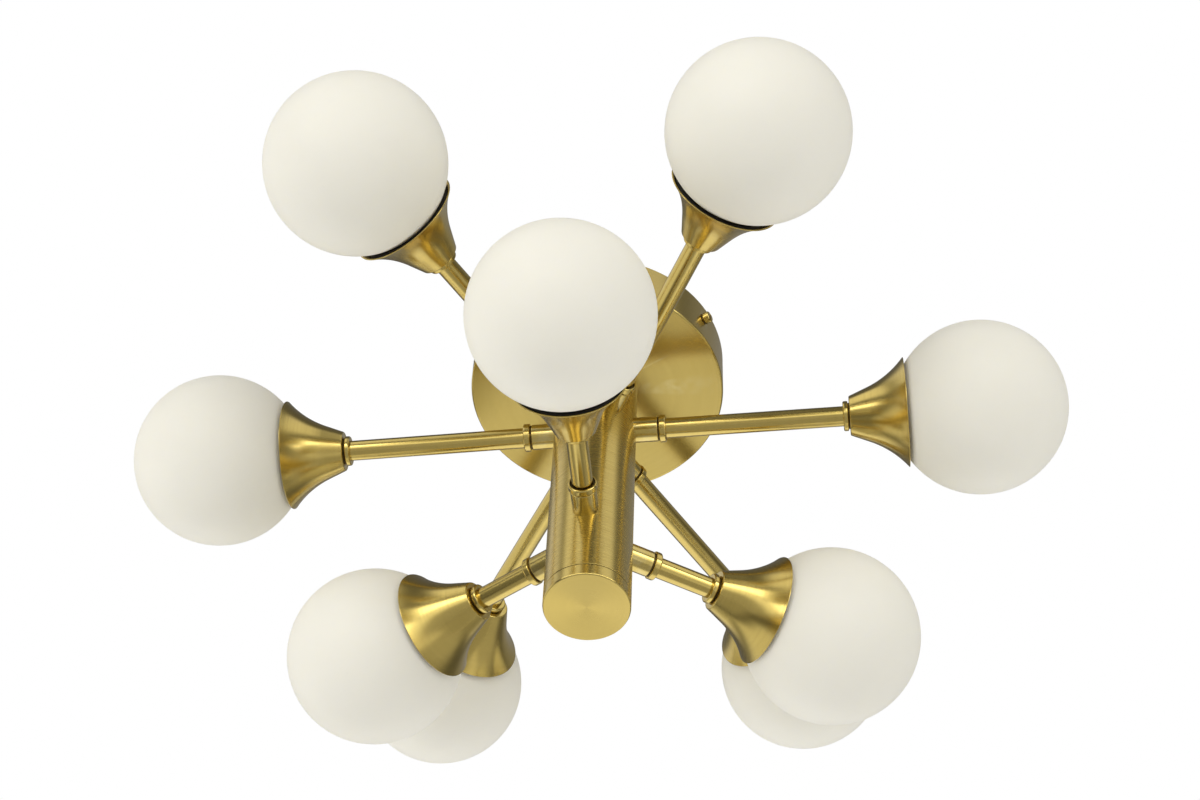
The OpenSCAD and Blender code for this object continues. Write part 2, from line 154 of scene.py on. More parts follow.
class CeilingLightCupSizes(bpy.types.PropertyGroup):
    """Sizes of the bell cups, globes and lamps"""
    cup_length: length("Cup length", 39, "Length of a bell cup")
    cup_wall: length("Cup wall", 0.9, "Thickness of a cup's sheet")
    throat_radius: length("Throat radius", 13.6, "Radius of a cup's narrow end")
    cone_angle: FloatProperty(name="Cone angle", description="Half angle of a cup's straight part",
                              default=radians(22.2), subtype="ANGLE")
    cone_length: length("Cone length", 12.8, "Length of a cup's straight part")
    flare_radius: length("Flare radius", 65, "Radius of a cup's flare")
    rim_gap: length("Rim gap", 3.4, "Gap between a cup's rim and the globe")
    throat_edge: length("Throat edge", 1.0, "Radius of the edge at a cup's narrow end")
    nipple_hole: length("Nipple hole", 5.05, "Radius of the hole in a cup's narrow end")
    seal_recess: length("Seal recess", 1.6, "Depth of the rubber ring inside the rim")
    seal_length: length("Seal length", 5.5, "Length of the rubber ring along the arm")
    seal_gap: length("Seal gap", 0.3, "Gap round the rubber ring")
    globe_radius: length("Globe radius", 60, "Outer radius of a globe")
    glass_wall: length("Glass wall", 2.5, "Thickness of a globe's glass")
    neck_radius: length("Neck radius", 18.5, "Outer radius of a globe's neck")
    neck_depth: length("Neck depth", 20, "Depth of the neck's end inside the rim")
    thread_pitch: length("Thread pitch", 4, "Advance of the globe's thread in one turn")
    holder_length: length("Holder length", 28, "Length of a lampholder")
    holder_radius: length("Holder radius", 15.6, "Outer radius of a lampholder")
    holder_foot_radius: length("Holder foot radius", 11, "Radius of a lampholder's foot")
    holder_foot: length("Holder foot", 9, "Length of a lampholder's foot")
    pin_spacing: length("Pin spacing", 9, "Distance between the pins of a lamp")
    pin_radius: length("Pin radius", 0.75, "Radius of a lamp's pin")
    pin_length: length("Pin length", 12, "Length of a lamp's pin")
    pin_gap: length("Pin gap", 0.35, "Gap round a pin and under the lamp")
    lamp_radius: length("Lamp radius", 6.8, "Radius of a lamp's glass")
    lamp_length: length("Lamp length", 42, "Length of a lamp's glass with its foot")
    lamp_foot: length("Lamp foot", 9, "Length of a lamp's flat foot")
    wire_radius: length("Wire radius", 0.7, "Radius of one insulated wire")
    wire_circle: length("Wire circle", 12, "From the column's axis to the rising wires")


class CeilingLightFinish(bpy.types.PropertyGroup):
    """Colours and surfaces"""
    brass: colour("Brass", (0.66, 0.505, 0.145), "Colour of the satin brass")
    brass_worn: colour("Worn brass", (0.76, 0.65, 0.32), "Colour where the lacquer is rubbed at the edges")
    brass_dull: colour("Dull brass", (0.45, 0.325, 0.075), "Colour of the darker brush lines")
    # This dark brass is painted shade for the grooves.
    brass_groove_shade: colour("Dark brass", (0.060, 0.042, 0.016), "Colour of the tarnish left in the grooves")
    opal: colour("Opal glass", (0.96, 0.93, 0.815), "Colour of the opal glass")
    opal_roughness: share("Opal roughness", 0.5, "Roughness of the etched glass")
    rubber: colour("Rubber", (0.012, 0.011, 0.010), "Colour of the seal rings")
    steel: colour("Steel", (0.60, 0.60, 0.61), "Colour of the plated steel")
    porcelain: colour("Porcelain", (0.84, 0.82, 0.76), "Colour of the lampholders")


class CeilingLightStudio(bpy.types.PropertyGroup):
    """The camera and the lights"""
    camera_place: FloatVectorProperty(name="Camera place", description="Where the camera stands",
                                      default=(0.1592, -1.0865, -1.5111), size=3, subtype="TRANSLATION")
    camera_turn: FloatVectorProperty(name="Camera turn", description="How the camera is turned",
                                     default=(radians(143.18), radians(-1.60), radians(6.08)), size=3,
                                     subtype="EULER")
    camera_lens: FloatProperty(name="Lens", description="Focal length on a 36 mm wide sensor", default=77.66)
    floor_depth: length("Floor depth", -3500, "Height of the floor, below the ceiling")
    room_light: FloatProperty(name="Room light", description="Strength of the studio's light", default=1.0)


# ---------------------------------------------------------------- shapes

def rounded(corners, steps=6):
    """A closed outline with each (x, y, radius) corner turned into an arc. Radius 0 keeps the corner."""
    points = []
    for i, (x, y, radius) in enumerate(corners):
        here = Vector((x, y))
        before = (Vector(corners[i - 1][:2]) - here).normalized()
        after = (Vector(corners[(i + 1) % len(corners)][:2]) - here).normalized()
        if radius <= 0:
            points.append((x, y))
            continue
        half = before.angle(after) / 2
        reach = radius / tan(half)
        middle = here + (before + after).normalized() * radius / sin(half)
        first = here + before * reach - middle
        last = here + after * reach - middle
        sweep = first.angle_signed(last)
        for step in range(steps + 1):
            spoke = first.copy()
            spoke.rotate(Matrix.Rotation(-sweep * step / steps, 2))
            points.append(tuple(middle + spoke))
    return points


def finish_mesh(name, mesh, sharp_angle=radians(38)):
    """An object from a bmesh, with smooth faces, sharp creases and flats that stay flat."""
    bmesh.ops.recalc_face_normals(mesh, faces=mesh.faces)
    for face in mesh.faces:
        face.smooth = True
    for edge in mesh.edges:
        edge.smooth = not edge.is_manifold or edge.calc_face_angle(0) < sharp_angle
    data = bpy.data.meshes.new(name)
    mesh.to_mesh(data)
    mesh.free()
    piece = bpy.data.objects.new(name, data)
    bpy.context.scene.collection.objects.link(piece)
    weighted = piece.modifiers.new("flat faces", "WEIGHTED_NORMAL")
    weighted.keep_sharp = True
    return piece


def spin_into(mesh, outline, steps, closed=True):
    """Adds the surface that a (radius, height) outline sweeps about +Z."""
    rings = []
    for radius, height in outline:
        if radius < 1e-7:
            rings.append([mesh.verts.new((0, 0, height))])
            continue
        turn = [2 * pi * i / steps for i in range(steps)]
        rings.append([mesh.verts.new((radius * cos(a), radius * sin(a), height)) for a in turn])
    pairs = list(zip(rings, rings[1:] + rings[:1])) if closed else list(zip(rings, rings[1:]))
    for one, two in pairs:
        if len(one) == 1 and len(two) == 1:
            continue
        for i in range(steps):
            j = (i + 1) % steps
            corners = [one[i % len(one)], one[j % len(one)], two[j % len(two)], two[i % len(two)]]
            mesh.faces.new(list(dict.fromkeys(corners)))


def turned(name, outline, steps=128):
    """A lathe-turned piece from a closed (radius, height) outline."""
    mesh = bmesh.new()
    spin_into(mesh, outline, steps)
    return finish_mesh(name, mesh)


def ring(name, outer, inner, low, high, edge, steps=96):
    """A turned ring with rounded outer edges and lightly broken inner ones."""
    return turned(name, rounded([
        (inner, low, edge / 3), (outer, low, edge), (outer, high, edge), (inner, high, edge / 3),
    ]), steps)


def rectangle(half_x, half_y, radius=0.0):
    """The (x, y, radius) corners of a rectangle about the origin."""
    return [(-half_x, -half_y, radius), (half_x, -half_y, radius), (half_x, half_y, radius),
            (-half_x, half_y, radius)]


def screw_thread(radius, start, end):
    """The corners of a machine screw's thread, from its tip to its head."""
    corners = [(0, start, 0), (radius * 0.7, start, 0)]
    crest = start + SCREW_PITCH
    while crest < end - SCREW_PITCH:
        corners += [(radius, crest, 0.1 * MM), (radius * 0.82, crest + SCREW_PITCH / 2, 0.1 * MM)]
        crest += SCREW_PITCH
    return corners


def prism_into(mesh, outline, low, high):
    """Adds a closed (x, y) outline extruded along Z from low to high."""
    ends = [[mesh.verts.new((x, y, z)) for x, y in outline] for z in (low, high)]
    for i in range(len(outline)):
        j = (i + 1) % len(outline)
        mesh.faces.new((ends[0][i], ends[0][j], ends[1][j], ends[1][i]))
    mesh.faces.new(ends[0][::-1])
    mesh.faces.new(ends[1])


def sweep_into(mesh, path, radius, sides=12):
    """Adds a round wire along a list of points, with closed ends."""
    rings = []
    normal = None
    for i, point in enumerate(path):
        along = (path[min(i + 1, len(path) - 1)] - path[max(i - 1, 0)]).normalized()
        normal = along.orthogonal() if normal is None else normal - along * normal.dot(along)
        normal.normalize()
        side = along.cross(normal)
        turn = [2 * pi * k / sides for k in range(sides)]
        rings.append([mesh.verts.new(point + (normal * cos(a) + side * sin(a)) * radius) for a in turn])
    for one, two in zip(rings, rings[1:]):
        for k in range(sides):
            m = (k + 1) % sides
            mesh.faces.new((one[k], one[m], two[m], two[k]))
    mesh.faces.new(rings[0][::-1])
    mesh.faces.new(rings[-1])


def cut(piece, cutters):
    """Takes the cutters out of a piece and deletes them."""
    piece.modifiers.clear()
    for cutter in cutters:
        hole = piece.modifiers.new("cut", "BOOLEAN")
        hole.object = cutter
        hole.operation = "DIFFERENCE"
        hole.solver = "EXACT"
    evaluated = piece.evaluated_get(bpy.context.evaluated_depsgraph_get())
    old = piece.data
    mesh = bmesh.new()
    mesh.from_mesh(bpy.data.meshes.new_from_object(evaluated))
    for cutter in cutters:
        bpy.data.objects.remove(cutter)
    name = piece.name
    place = piece.matrix_world.copy()
    bpy.data.objects.remove(piece)
    bpy.data.meshes.remove(old)
    result = finish_mesh(name, mesh)
    result.matrix_world = place
    return result


def place(piece, matrix):
    """Puts a piece in the row's frame."""
    piece.matrix_world = matrix
    bpy.context.view_layer.update()


def drill(radius, low, high, steps, matrix):
    """A cutter for a round hole along Z, put in place."""
    tool = turned("drill", [(0, low), (radius, low), (radius, high), (0, high)], steps)
    place(tool, matrix)
    return tool


def settle(piece, body, finish, nodes, matrix=None):
    """Places a piece, gives it its finish, and ties it to its body and CAD nodes."""
    if matrix is not None:
        place(piece, matrix)
    if piece.data.materials:
        piece.data.materials[0] = finish
    else:
        piece.data.materials.append(finish)
    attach(piece, body)
    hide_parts(*nodes)
    return piece


def arms():
    """Each arm's name, matrix at the globe's centre and reach from the column's axis, read from the joints."""
    found = []
    for joint in frame["joints"]:
        if not joint["name"].endswith("_unscrew"):
            continue
        name = joint["name"].removeprefix("globe_").removesuffix("_unscrew")
        centre = Vector(joint["pos_m"])
        along = Vector(joint["axis"])
        down = Vector((0, 0, -1))
        axes = Matrix((down, along.cross(down), along)).transposed()
        found.append((name, Matrix.Translation(centre) @ axes.to_4x4(), hypot(centre.x, centre.y)))
    return found


def turn_for_arms(title, outline, steps, finish, node, moves=True):
    """Turns one piece for each arm. {} in title and node is the arm; a piece that moves rides its node."""
    for name, matrix, _ in arms():
        piece = turned(title.format(name), outline, steps)
        replaced = node.format(name)
        settle(piece, replaced if moves else "root", finish, [replaced], matrix)


def bracket_turn():
    """The turn about +Z that points +X along the bracket, from the right side screw's joint."""
    joint = next(j for j in frame["joints"] if j["child"] == "canopy_screw_right")
    return Vector(joint["axis"]).to_track_quat("X", "Z").to_matrix().to_4x4()


class CupShape:
    """The bell cup's outline: a cone that runs into a flare of constant radius."""

    def __init__(self, sizes):
        self.sizes = sizes
        rim = self.outer(sizes.cup_length)
        self.rim_back = sqrt((sizes.globe_radius + sizes.rim_gap) ** 2 - rim ** 2)
        self.back = self.rim_back + sizes.cup_length

    def angle(self, x):
        """Slope of the wall at a distance x from the narrow end."""
        s = self.sizes
        if x < s.cone_length:
            return s.cone_angle
        return asin(sin(s.cone_angle) + (x - s.cone_length) / s.flare_radius)

    def outer(self, x):
        """Outer radius at a distance x from the narrow end."""
        s = self.sizes
        cone = s.throat_radius + tan(s.cone_angle) * min(x, s.cone_length)
        return cone + s.flare_radius * (cos(s.cone_angle) - cos(self.angle(x)))

    def inner(self, x):
        """Inner radius at a distance x from the narrow end."""
        return self.outer(x) - self.sizes.cup_wall / cos(self.angle(x))


# ---------------------------------------------------------------- material building blocks

class Graph:
    """A node tree with short calls to add and join nodes."""

    def __init__(self, tree):
        self.tree = tree
        self.tree.nodes.clear()

    def add(self, kind, inputs=None, **settings):
        """Adds a node, sets its properties, and sets or links its inputs."""
        node = self.tree.nodes.new(kind)
        for key, value in settings.items():
            setattr(node, key, value)
        for key, value in (inputs or {}).items():
            self.feed(node.inputs[key], value)
        return node

    def feed(self, socket, value):
        """Links a socket, or sets it to a plain value."""
        if isinstance(value, bpy.types.NodeSocket):
            self.tree.links.new(value, socket)
        else:
            socket.default_value = value

    def maths(self, operation, *values, clamp=False):
        """The result of a Math node."""
        node = self.add("ShaderNodeMath", operation=operation, use_clamp=clamp)
        for socket, value in zip(node.inputs, values):
            self.feed(socket, value)
        return node.outputs[0]

    def noise(self, vector, scale, detail=2.0, rough=0.5):
        """A noise value between 0 and 1."""
        node = self.add("ShaderNodeTexNoise", {"Vector": vector, "Scale": scale, "Detail": detail,
                                               "Roughness": rough})
        return node.outputs["Fac"]

    def ramp(self, value, low, high, out_low=0.0, out_high=1.0):
        """Stretches a value from one span to another, with soft ends."""
        node = self.add("ShaderNodeMapRange", {"Value": value, "From Min": low, "From Max": high,
                                               "To Min": out_low, "To Max": out_high},
                        interpolation_type="SMOOTHSTEP")
        return node.outputs["Result"]

    def mix(self, share_of_second, first, second):
        """A colour between two colours."""
        node = self.add("ShaderNodeMix", data_type="RGBA")
        self.feed(node.inputs["Factor"], share_of_second)
        for socket, value in ((node.inputs[6], first), (node.inputs[7], second)):
            self.feed(socket, value if isinstance(value, bpy.types.NodeSocket) else (*value, 1))
        return node.outputs[2]


def effect(name, inputs, outputs, build):
    """A shader node group, made once, with named inputs and outputs."""
    if name in bpy.data.node_groups:
        return bpy.data.node_groups[name]
    tree = bpy.data.node_groups.new(name, "ShaderNodeTree")
    for label, default in inputs.items():
        socket = tree.interface.new_socket(label, in_out="INPUT", socket_type="NodeSocketFloat")
        socket.default_value = default
    for label in outputs:
        tree.interface.new_socket(label, in_out="OUTPUT", socket_type="NodeSocketFloat")
    graph = Graph(tree)
    source = graph.add("NodeGroupInput")
    target = graph.add("NodeGroupOutput")
    for label, value in build(graph, source.outputs).items():
        graph.feed(target.inputs[label], value)
    return tree


def brush_lines():
    """Fine lathe lines round a piece's own Z axis: along its sides and in rings on its faces."""
    def build(graph, source):
        place_on = graph.add("ShaderNodeTexCoord").outputs["Object"]
        axes = graph.add("ShaderNodeSeparateXYZ", {"Vector": place_on}).outputs
        radius = graph.maths("SQRT", graph.maths("ADD", graph.maths("MULTIPLY", axes["X"], axes["X"]),
                                                 graph.maths("MULTIPLY", axes["Y"], axes["Y"])))
        safe = graph.maths("MAXIMUM", radius, 0.0005)
        across = graph.maths("ADD", axes["Z"], graph.maths("MULTIPLY", radius, 0.83))
        fields = []
        for spacing, arc in ((1.0, 1.0), (0.27, 3.0)):
            line = graph.maths("DIVIDE", across, graph.maths("MULTIPLY", source["Spacing"], spacing))
            turn = graph.maths("MULTIPLY", source["Arc"], arc)
            spot = graph.add("ShaderNodeCombineXYZ", {
                "X": graph.maths("MULTIPLY", graph.maths("DIVIDE", axes["X"], safe), turn),
                "Y": graph.maths("MULTIPLY", graph.maths("DIVIDE", axes["Y"], safe), turn),
                "Z": line,
            }).outputs[0]
            fields.append(graph.noise(spot, 1.0, 2.0, 0.6))
        both = graph.maths("ADD", graph.maths("MULTIPLY", fields[0], 0.55),
                           graph.maths("MULTIPLY", fields[1], 0.45))
        return {"Lines": graph.ramp(both, 0.3, 0.7)}
    return effect("Brush Lines", {"Spacing": 0.0011, "Arc": 0.3}, ("Lines",), build)


def edge_wear_and_crease_shade():
    """Where a piece's edges are rubbed, and where its inner corners get painted shade."""
    def build(graph, source):
        sharpness = graph.add("ShaderNodeNewGeometry").outputs["Pointiness"]
        spot = graph.add("ShaderNodeTexCoord").outputs["Object"]
        patches = graph.noise(spot, 140.0, 3.0, 0.6)
        worn = graph.maths("MULTIPLY", graph.ramp(sharpness, 0.51, 0.56), graph.ramp(patches, 0.35, 0.7))
        # Painted shade: inner corners, found by low pointiness.
        crease_shade = graph.ramp(sharpness, 0.49, 0.44)
        return {"Worn": graph.maths("MULTIPLY", worn, source["Wear"], clamp=True),
                "Dirt": graph.maths("MULTIPLY", crease_shade, source["Dirt"], clamp=True)}
    return effect("Edge Wear", {"Wear": 0.6, "Dirt": 0.5}, ("Worn", "Dirt"), build)


def handling_haze():
    """Soft uneven patches left by lacquer and handling, and small specks."""
    def build(graph, source):
        spot = graph.add("ShaderNodeTexCoord").outputs["Object"]
        soft = graph.noise(spot, source["Patch Scale"], 3.0, 0.55)
        specks = graph.noise(spot, graph.maths("MULTIPLY", source["Patch Scale"], 34.0), 1.0, 0.5)
        return {"Haze": graph.ramp(soft, 0.3, 0.72), "Specks": graph.ramp(specks, 0.68, 0.8)}
    return effect("Handling Haze", {"Patch Scale": 22.0}, ("Haze", "Specks"), build)


def use(graph, group, **values):
    """Places an effect in a material with its own values, and returns its outputs."""
    node = graph.add("ShaderNodeGroup", node_tree=group)
    for label, value in values.items():
        node.inputs[label.replace("_", " ")].default_value = value
    return node.outputs


def new_material(name):
    """An empty material, its graph and its Principled shader."""
    made = bpy.data.materials.new(name)
    made.use_nodes = True
    graph = Graph(made.node_tree)
    shader = graph.add("ShaderNodeBsdfPrincipled")
    output = graph.add("ShaderNodeOutputMaterial")
    graph.tree.links.new(shader.outputs[0], output.inputs["Surface"])
    return made, graph, shader


# How each brass part is brushed: spacing of the lathe lines, their strength, how far they stretch a highlight,
# and the roughness.
BRUSHING = {
    "canopy": (1.2 * MM, 0.6, 0.45, 0.24),
    "small": (0.5 * MM, 0.7, 0.3, 0.24),
    "column": (1.0 * MM, 1.2, 0.7, 0.25),
    "cap": (0.7 * MM, 0.35, 0.85, 0.26),
    "fittings": (0.8 * MM, 0.5, 0.4, 0.20),
    "tubes": (1.0 * MM, 0.5, 0.4, 0.20),
    "cups": (1.0 * MM, 0.9, 0.6, 0.22),
}


def brushed_brass(part):
    """Satin brass with lathe lines, rubbed edges, lacquer haze and a stretched highlight."""
    name = "brass_" + part
    if name in bpy.data.materials:
        return bpy.data.materials[name]
    spacing, lines, stretch, roughness = BRUSHING[part]
    finish = bpy.context.scene.ceiling_light_finish
    made, graph, shader = new_material(name)
    brush = use(graph, brush_lines(), Spacing=spacing)
    edges = use(graph, edge_wear_and_crease_shade(), Wear=0.6, Dirt=0.5)
    haze = use(graph, handling_haze(), Patch_Scale=26.0)
    tone = graph.mix(graph.maths("MULTIPLY", brush["Lines"], 0.36 * lines), finish.brass, finish.brass_dull)
    tone = graph.mix(graph.maths("MULTIPLY", haze["Haze"], 0.05), tone, finish.brass_worn)
    tone = graph.mix(edges["Worn"], tone, finish.brass_worn)
    # Painted shade: inner corners are darkened towards dull brass.
    tone = graph.mix(edges["Dirt"], tone, finish.brass_dull)
    rough = graph.maths("ADD", roughness - 0.02, graph.maths("MULTIPLY", brush["Lines"], 0.05 * lines))
    rough = graph.maths("ADD", rough, graph.maths("MULTIPLY", haze["Haze"], 0.02))
    rough = graph.maths("SUBTRACT", rough, graph.maths("MULTIPLY", edges["Worn"], 0.06), clamp=True)
    graph.feed(shader.inputs["Base Color"], tone)
    graph.feed(shader.inputs["Roughness"], rough)
    shader.inputs["Metallic"].default_value = 1.0
    shader.inputs["Anisotropic"].default_value = stretch
    shader.inputs["Anisotropic Rotation"].default_value = ACROSS_THE_LINES
    shader.inputs["Coat Weight"].default_value = 0.25
    shader.inputs["Coat Roughness"].default_value = 0.14
    round_axis = graph.add("ShaderNodeTangent", direction_type="RADIAL", axis="Z")
    graph.feed(shader.inputs["Tangent"], round_axis.outputs[0])
    bump = graph.add("ShaderNodeBump", {"Height": brush["Lines"], "Strength": 0.006 * lines,
                                        "Distance": 0.0001})
    graph.feed(shader.inputs["Normal"], bump.outputs[0])
    return made


def painted_shade(piece, low, high, limit):
    """Gives a turned piece's groove dark brass as painted shade: its faces between two heights and inside a
    radius.
    """
    if len(piece.data.materials) == 0:
        piece.data.materials.append(None)
        piece.data.materials.append(painted_groove_shade_brass())
    for face in piece.data.polygons:
        if low <= face.center.z <= high and hypot(face.center.x, face.center.y) < limit:
            face.material_index = 1


def painted_groove_shade_brass():
    """Brown-black brass painted into a groove as its shade."""
    if "brass_tarnished" in bpy.data.materials:
        return bpy.data.materials["brass_tarnished"]
    finish = bpy.context.scene.ceiling_light_finish
    made, graph, shader = new_material("brass_tarnished")
    haze = use(graph, handling_haze(), Patch_Scale=90.0)
    tone = graph.mix(graph.maths("MULTIPLY", haze["Haze"], 0.25), finish.brass_groove_shade, finish.brass_dull)
    graph.feed(shader.inputs["Base Color"], tone)
    rough = graph.maths("ADD", 0.45, graph.maths("MULTIPLY", haze["Haze"], 0.2))
    graph.feed(shader.inputs["Roughness"], rough)
    shader.inputs["Metallic"].default_value = 0.8
    return made


def opal_glass():
    """Acid-etched opal glass: milky right through, with a faint cloudiness and a silky skin."""
    if "opal_glass_etched" in bpy.data.materials:
        return bpy.data.materials["opal_glass_etched"]
    finish = bpy.context.scene.ceiling_light_finish
    made, graph, shader = new_material("opal_glass_etched")
    haze = use(graph, handling_haze(), Patch_Scale=16.0)
    cloud = [c * 0.965 for c in finish.opal]
    tone = graph.mix(graph.maths("MULTIPLY", haze["Haze"], 0.6), finish.opal, cloud)
    tone = graph.mix(graph.maths("MULTIPLY", haze["Specks"], 0.25), tone, [c * 0.9 for c in finish.opal])
    rough = graph.maths("ADD", finish.opal_roughness, graph.maths("MULTIPLY", haze["Haze"], 0.06))
    graph.feed(shader.inputs["Base Color"], tone)
    graph.feed(shader.inputs["Roughness"], rough)
    shader.inputs["IOR"].default_value = 1.5
    shader.inputs["Subsurface Weight"].default_value = 0.35
    shader.inputs["Subsurface Radius"].default_value = (1.0, 0.92, 0.7)
    shader.inputs["Subsurface Scale"].default_value = 0.006
    shader.inputs["Specular IOR Level"].default_value = 0.35
    spot = graph.add("ShaderNodeTexCoord").outputs["Object"]
    frost = graph.noise(spot, 2600.0, 2.0, 0.6)
    bump = graph.add("ShaderNodeBump", {"Height": frost, "Strength": 0.05, "Distance": 0.00005})
    graph.feed(shader.inputs["Normal"], bump.outputs[0])
    return made


def black_rubber():
    """Moulded rubber with a fine grain and a little chalky bloom."""
    if "black_rubber_moulded" in bpy.data.materials:
        return bpy.data.materials["black_rubber_moulded"]
    finish = bpy.context.scene.ceiling_light_finish
    made, graph, shader = new_material("black_rubber_moulded")
    haze = use(graph, handling_haze(), Patch_Scale=60.0)
    bloom = [c * 2.6 for c in finish.rubber]
    tone = graph.mix(graph.maths("MULTIPLY", haze["Haze"], 0.5), finish.rubber, bloom)
    graph.feed(shader.inputs["Base Color"], tone)
    rough = graph.maths("ADD", 0.62, graph.maths("MULTIPLY", haze["Haze"], 0.2))
    graph.feed(shader.inputs["Roughness"], rough)
    spot = graph.add("ShaderNodeTexCoord").outputs["Object"]
    bump = graph.add("ShaderNodeBump", {"Height": graph.noise(spot, 1800.0, 3.0, 0.6), "Strength": 0.2,
                                        "Distance": 0.0001})
    graph.feed(shader.inputs["Normal"], bump.outputs[0])
    return made


def plated_steel():
    """Zinc-plated steel with a spangle, rolling marks and rubbed edges."""
    if "zinc_plated_steel" in bpy.data.materials:
        return bpy.data.materials["zinc_plated_steel"]
    finish = bpy.context.scene.ceiling_light_finish
    made, graph, shader = new_material("zinc_plated_steel")
    edges = use(graph, edge_wear_and_crease_shade(), Wear=0.5, Dirt=0.7)
    haze = use(graph, handling_haze(), Patch_Scale=70.0)
    spot = graph.add("ShaderNodeTexCoord").outputs["Object"]
    rolled = graph.add("ShaderNodeMapping", {"Vector": spot, "Scale": (40.0, 1500.0, 1500.0)}).outputs[0]
    marks = graph.noise(rolled, 1.0, 2.0, 0.6)
    tone = graph.mix(haze["Haze"], finish.steel, [c * 0.78 for c in finish.steel])
    # Painted shade: inner corners are darkened towards a grey-brown.
    tone = graph.mix(edges["Dirt"], tone, (0.2, 0.19, 0.17))
    rough = graph.maths("ADD", 0.3, graph.maths("MULTIPLY", marks, 0.16))
    graph.feed(shader.inputs["Base Color"], tone)
    graph.feed(shader.inputs["Roughness"], rough)
    shader.inputs["Metallic"].default_value = 1.0
    bump = graph.add("ShaderNodeBump", {"Height": marks, "Strength": 0.15, "Distance": 0.0001})
    graph.feed(shader.inputs["Normal"], bump.outputs[0])
    return made


def soft_finish(name, tone, dark, roughness, grain_scale, grain, coat=0.0):
    """A moulded or fired surface: two close tones in soft patches, specks and a fine grain."""
    if name in bpy.data.materials:
        return bpy.data.materials[name]
    made, graph, shader = new_material(name)
    haze = use(graph, handling_haze(), Patch_Scale=45.0)
    edges = use(graph, edge_wear_and_crease_shade(), Wear=0.2, Dirt=0.6)
    mixed = graph.mix(haze["Haze"], tone, [c * 0.93 for c in tone])
    mixed = graph.mix(graph.maths("MULTIPLY", haze["Specks"], 0.35), mixed, dark)
    # Painted shade: inner corners are darkened towards the dark tone.
    mixed = graph.mix(edges["Dirt"], mixed, dark)
    graph.feed(shader.inputs["Base Color"], mixed)
    graph.feed(shader.inputs["Roughness"],
               graph.maths("ADD", roughness, graph.maths("MULTIPLY", haze["Haze"], 0.08)))
    shader.inputs["Coat Weight"].default_value = coat
    spot = graph.add("ShaderNodeTexCoord").outputs["Object"]
    bump = graph.add("ShaderNodeBump", {"Height": graph.noise(spot, grain_scale, 2.0, 0.6), "Strength": grain,
                                        "Distance": 0.0001})
    graph.feed(shader.inputs["Normal"], bump.outputs[0])
    return made


def glazed_porcelain():
    """White glazed porcelain."""
    tone = bpy.context.scene.ceiling_light_finish.porcelain
    return soft_finish("porcelain_glazed", tone, (0.45, 0.42, 0.36), 0.14, 300.0, 0.05, coat=0.4)


def block_plastic():
    """Matt off-white moulded plastic."""
    return soft_finish("block_plastic_moulded", (0.78, 0.76, 0.70), (0.35, 0.33, 0.29), 0.5, 1500.0, 0.18)


def lamp_glass():
    """Frosted quartz of a small lamp."""
    return soft_finish("lamp_glass_frosted", (0.86, 0.86, 0.84), (0.6, 0.58, 0.52), 0.35, 2200.0, 0.12)


def wire_sleeve(name, tone):
    """Silicone insulation of one wire."""
    return soft_finish(name, tone, [c * 0.5 for c in tone], 0.48, 1200.0, 0.1)


# ---------------------------------------------------------------- operators

class PieceOperator(bpy.types.Operator):
    """Shared settings of the operators that make pieces"""
    bl_options = {"REGISTER", "UNDO"}

    def execute(self, context):
        scene = context.scene
        self.canopy = scene.ceiling_light_canopy
        self.column = scene.ceiling_light_column
        self.arm = scene.ceiling_light_arm
        self.cup = scene.ceiling_light_cup
        self.shape = CupShape(self.cup)
        self.make()
        return {"FINISHED"}


class CEILINGLIGHT_OT_canopy(PieceOperator):
    """Spun brass pan with a flat face, a rolled edge, screw slots and a wire hole"""
    bl_idname = "ceilinglight.canopy"
    bl_label = "Canopy"

    def make(self):
        s = self.canopy
        face = -s.canopy_height
        inner = s.canopy_radius - s.canopy_wall
        pan = turned("canopy_pan", rounded([
            (s.wire_hole_radius, face, 0.3 * MM),
            (s.canopy_radius, face, s.canopy_edge),
            (s.canopy_radius, 0, 0.4 * MM),
            (inner, 0, 0.4 * MM),
            (inner, face + s.canopy_wall, s.canopy_edge / 2),
            (s.wire_hole_radius, face + s.canopy_wall, 0.3 * MM),
        ]), 256)
        cutters = []
        for side in (0, pi):
            slot = bmesh.new()
            half = s.slot_length / 2
            wide = s.slot_width / 2
            prism_into(slot, rounded(rectangle(wide, half, wide * 0.98), 10), inner - THROUGH,
                       s.canopy_radius + THROUGH)
            cutter = finish_mesh("slot_cutter", slot)
            lying = Matrix.Translation((0, 0, -s.screw_depth)) @ Matrix.Rotation(pi / 2, 4, "Y")
            place(cutter, bracket_turn() @ Matrix.Rotation(side, 4, "Z") @ lying)
            cutters.append(cutter)
        for i in range(3):
            spot = Matrix.Translation((s.column_screw_circle, 0, 0))
            spot = Matrix.Rotation(2 * pi * i / 3, 4, "Z") @ spot
            cutters.append(drill(s.screw_radius * 1.2, face - THROUGH, face + THROUGH, 32, spot))
        pan = cut(pan, cutters)
        settle(pan, "root", brushed_brass("canopy"), ["canopy"])


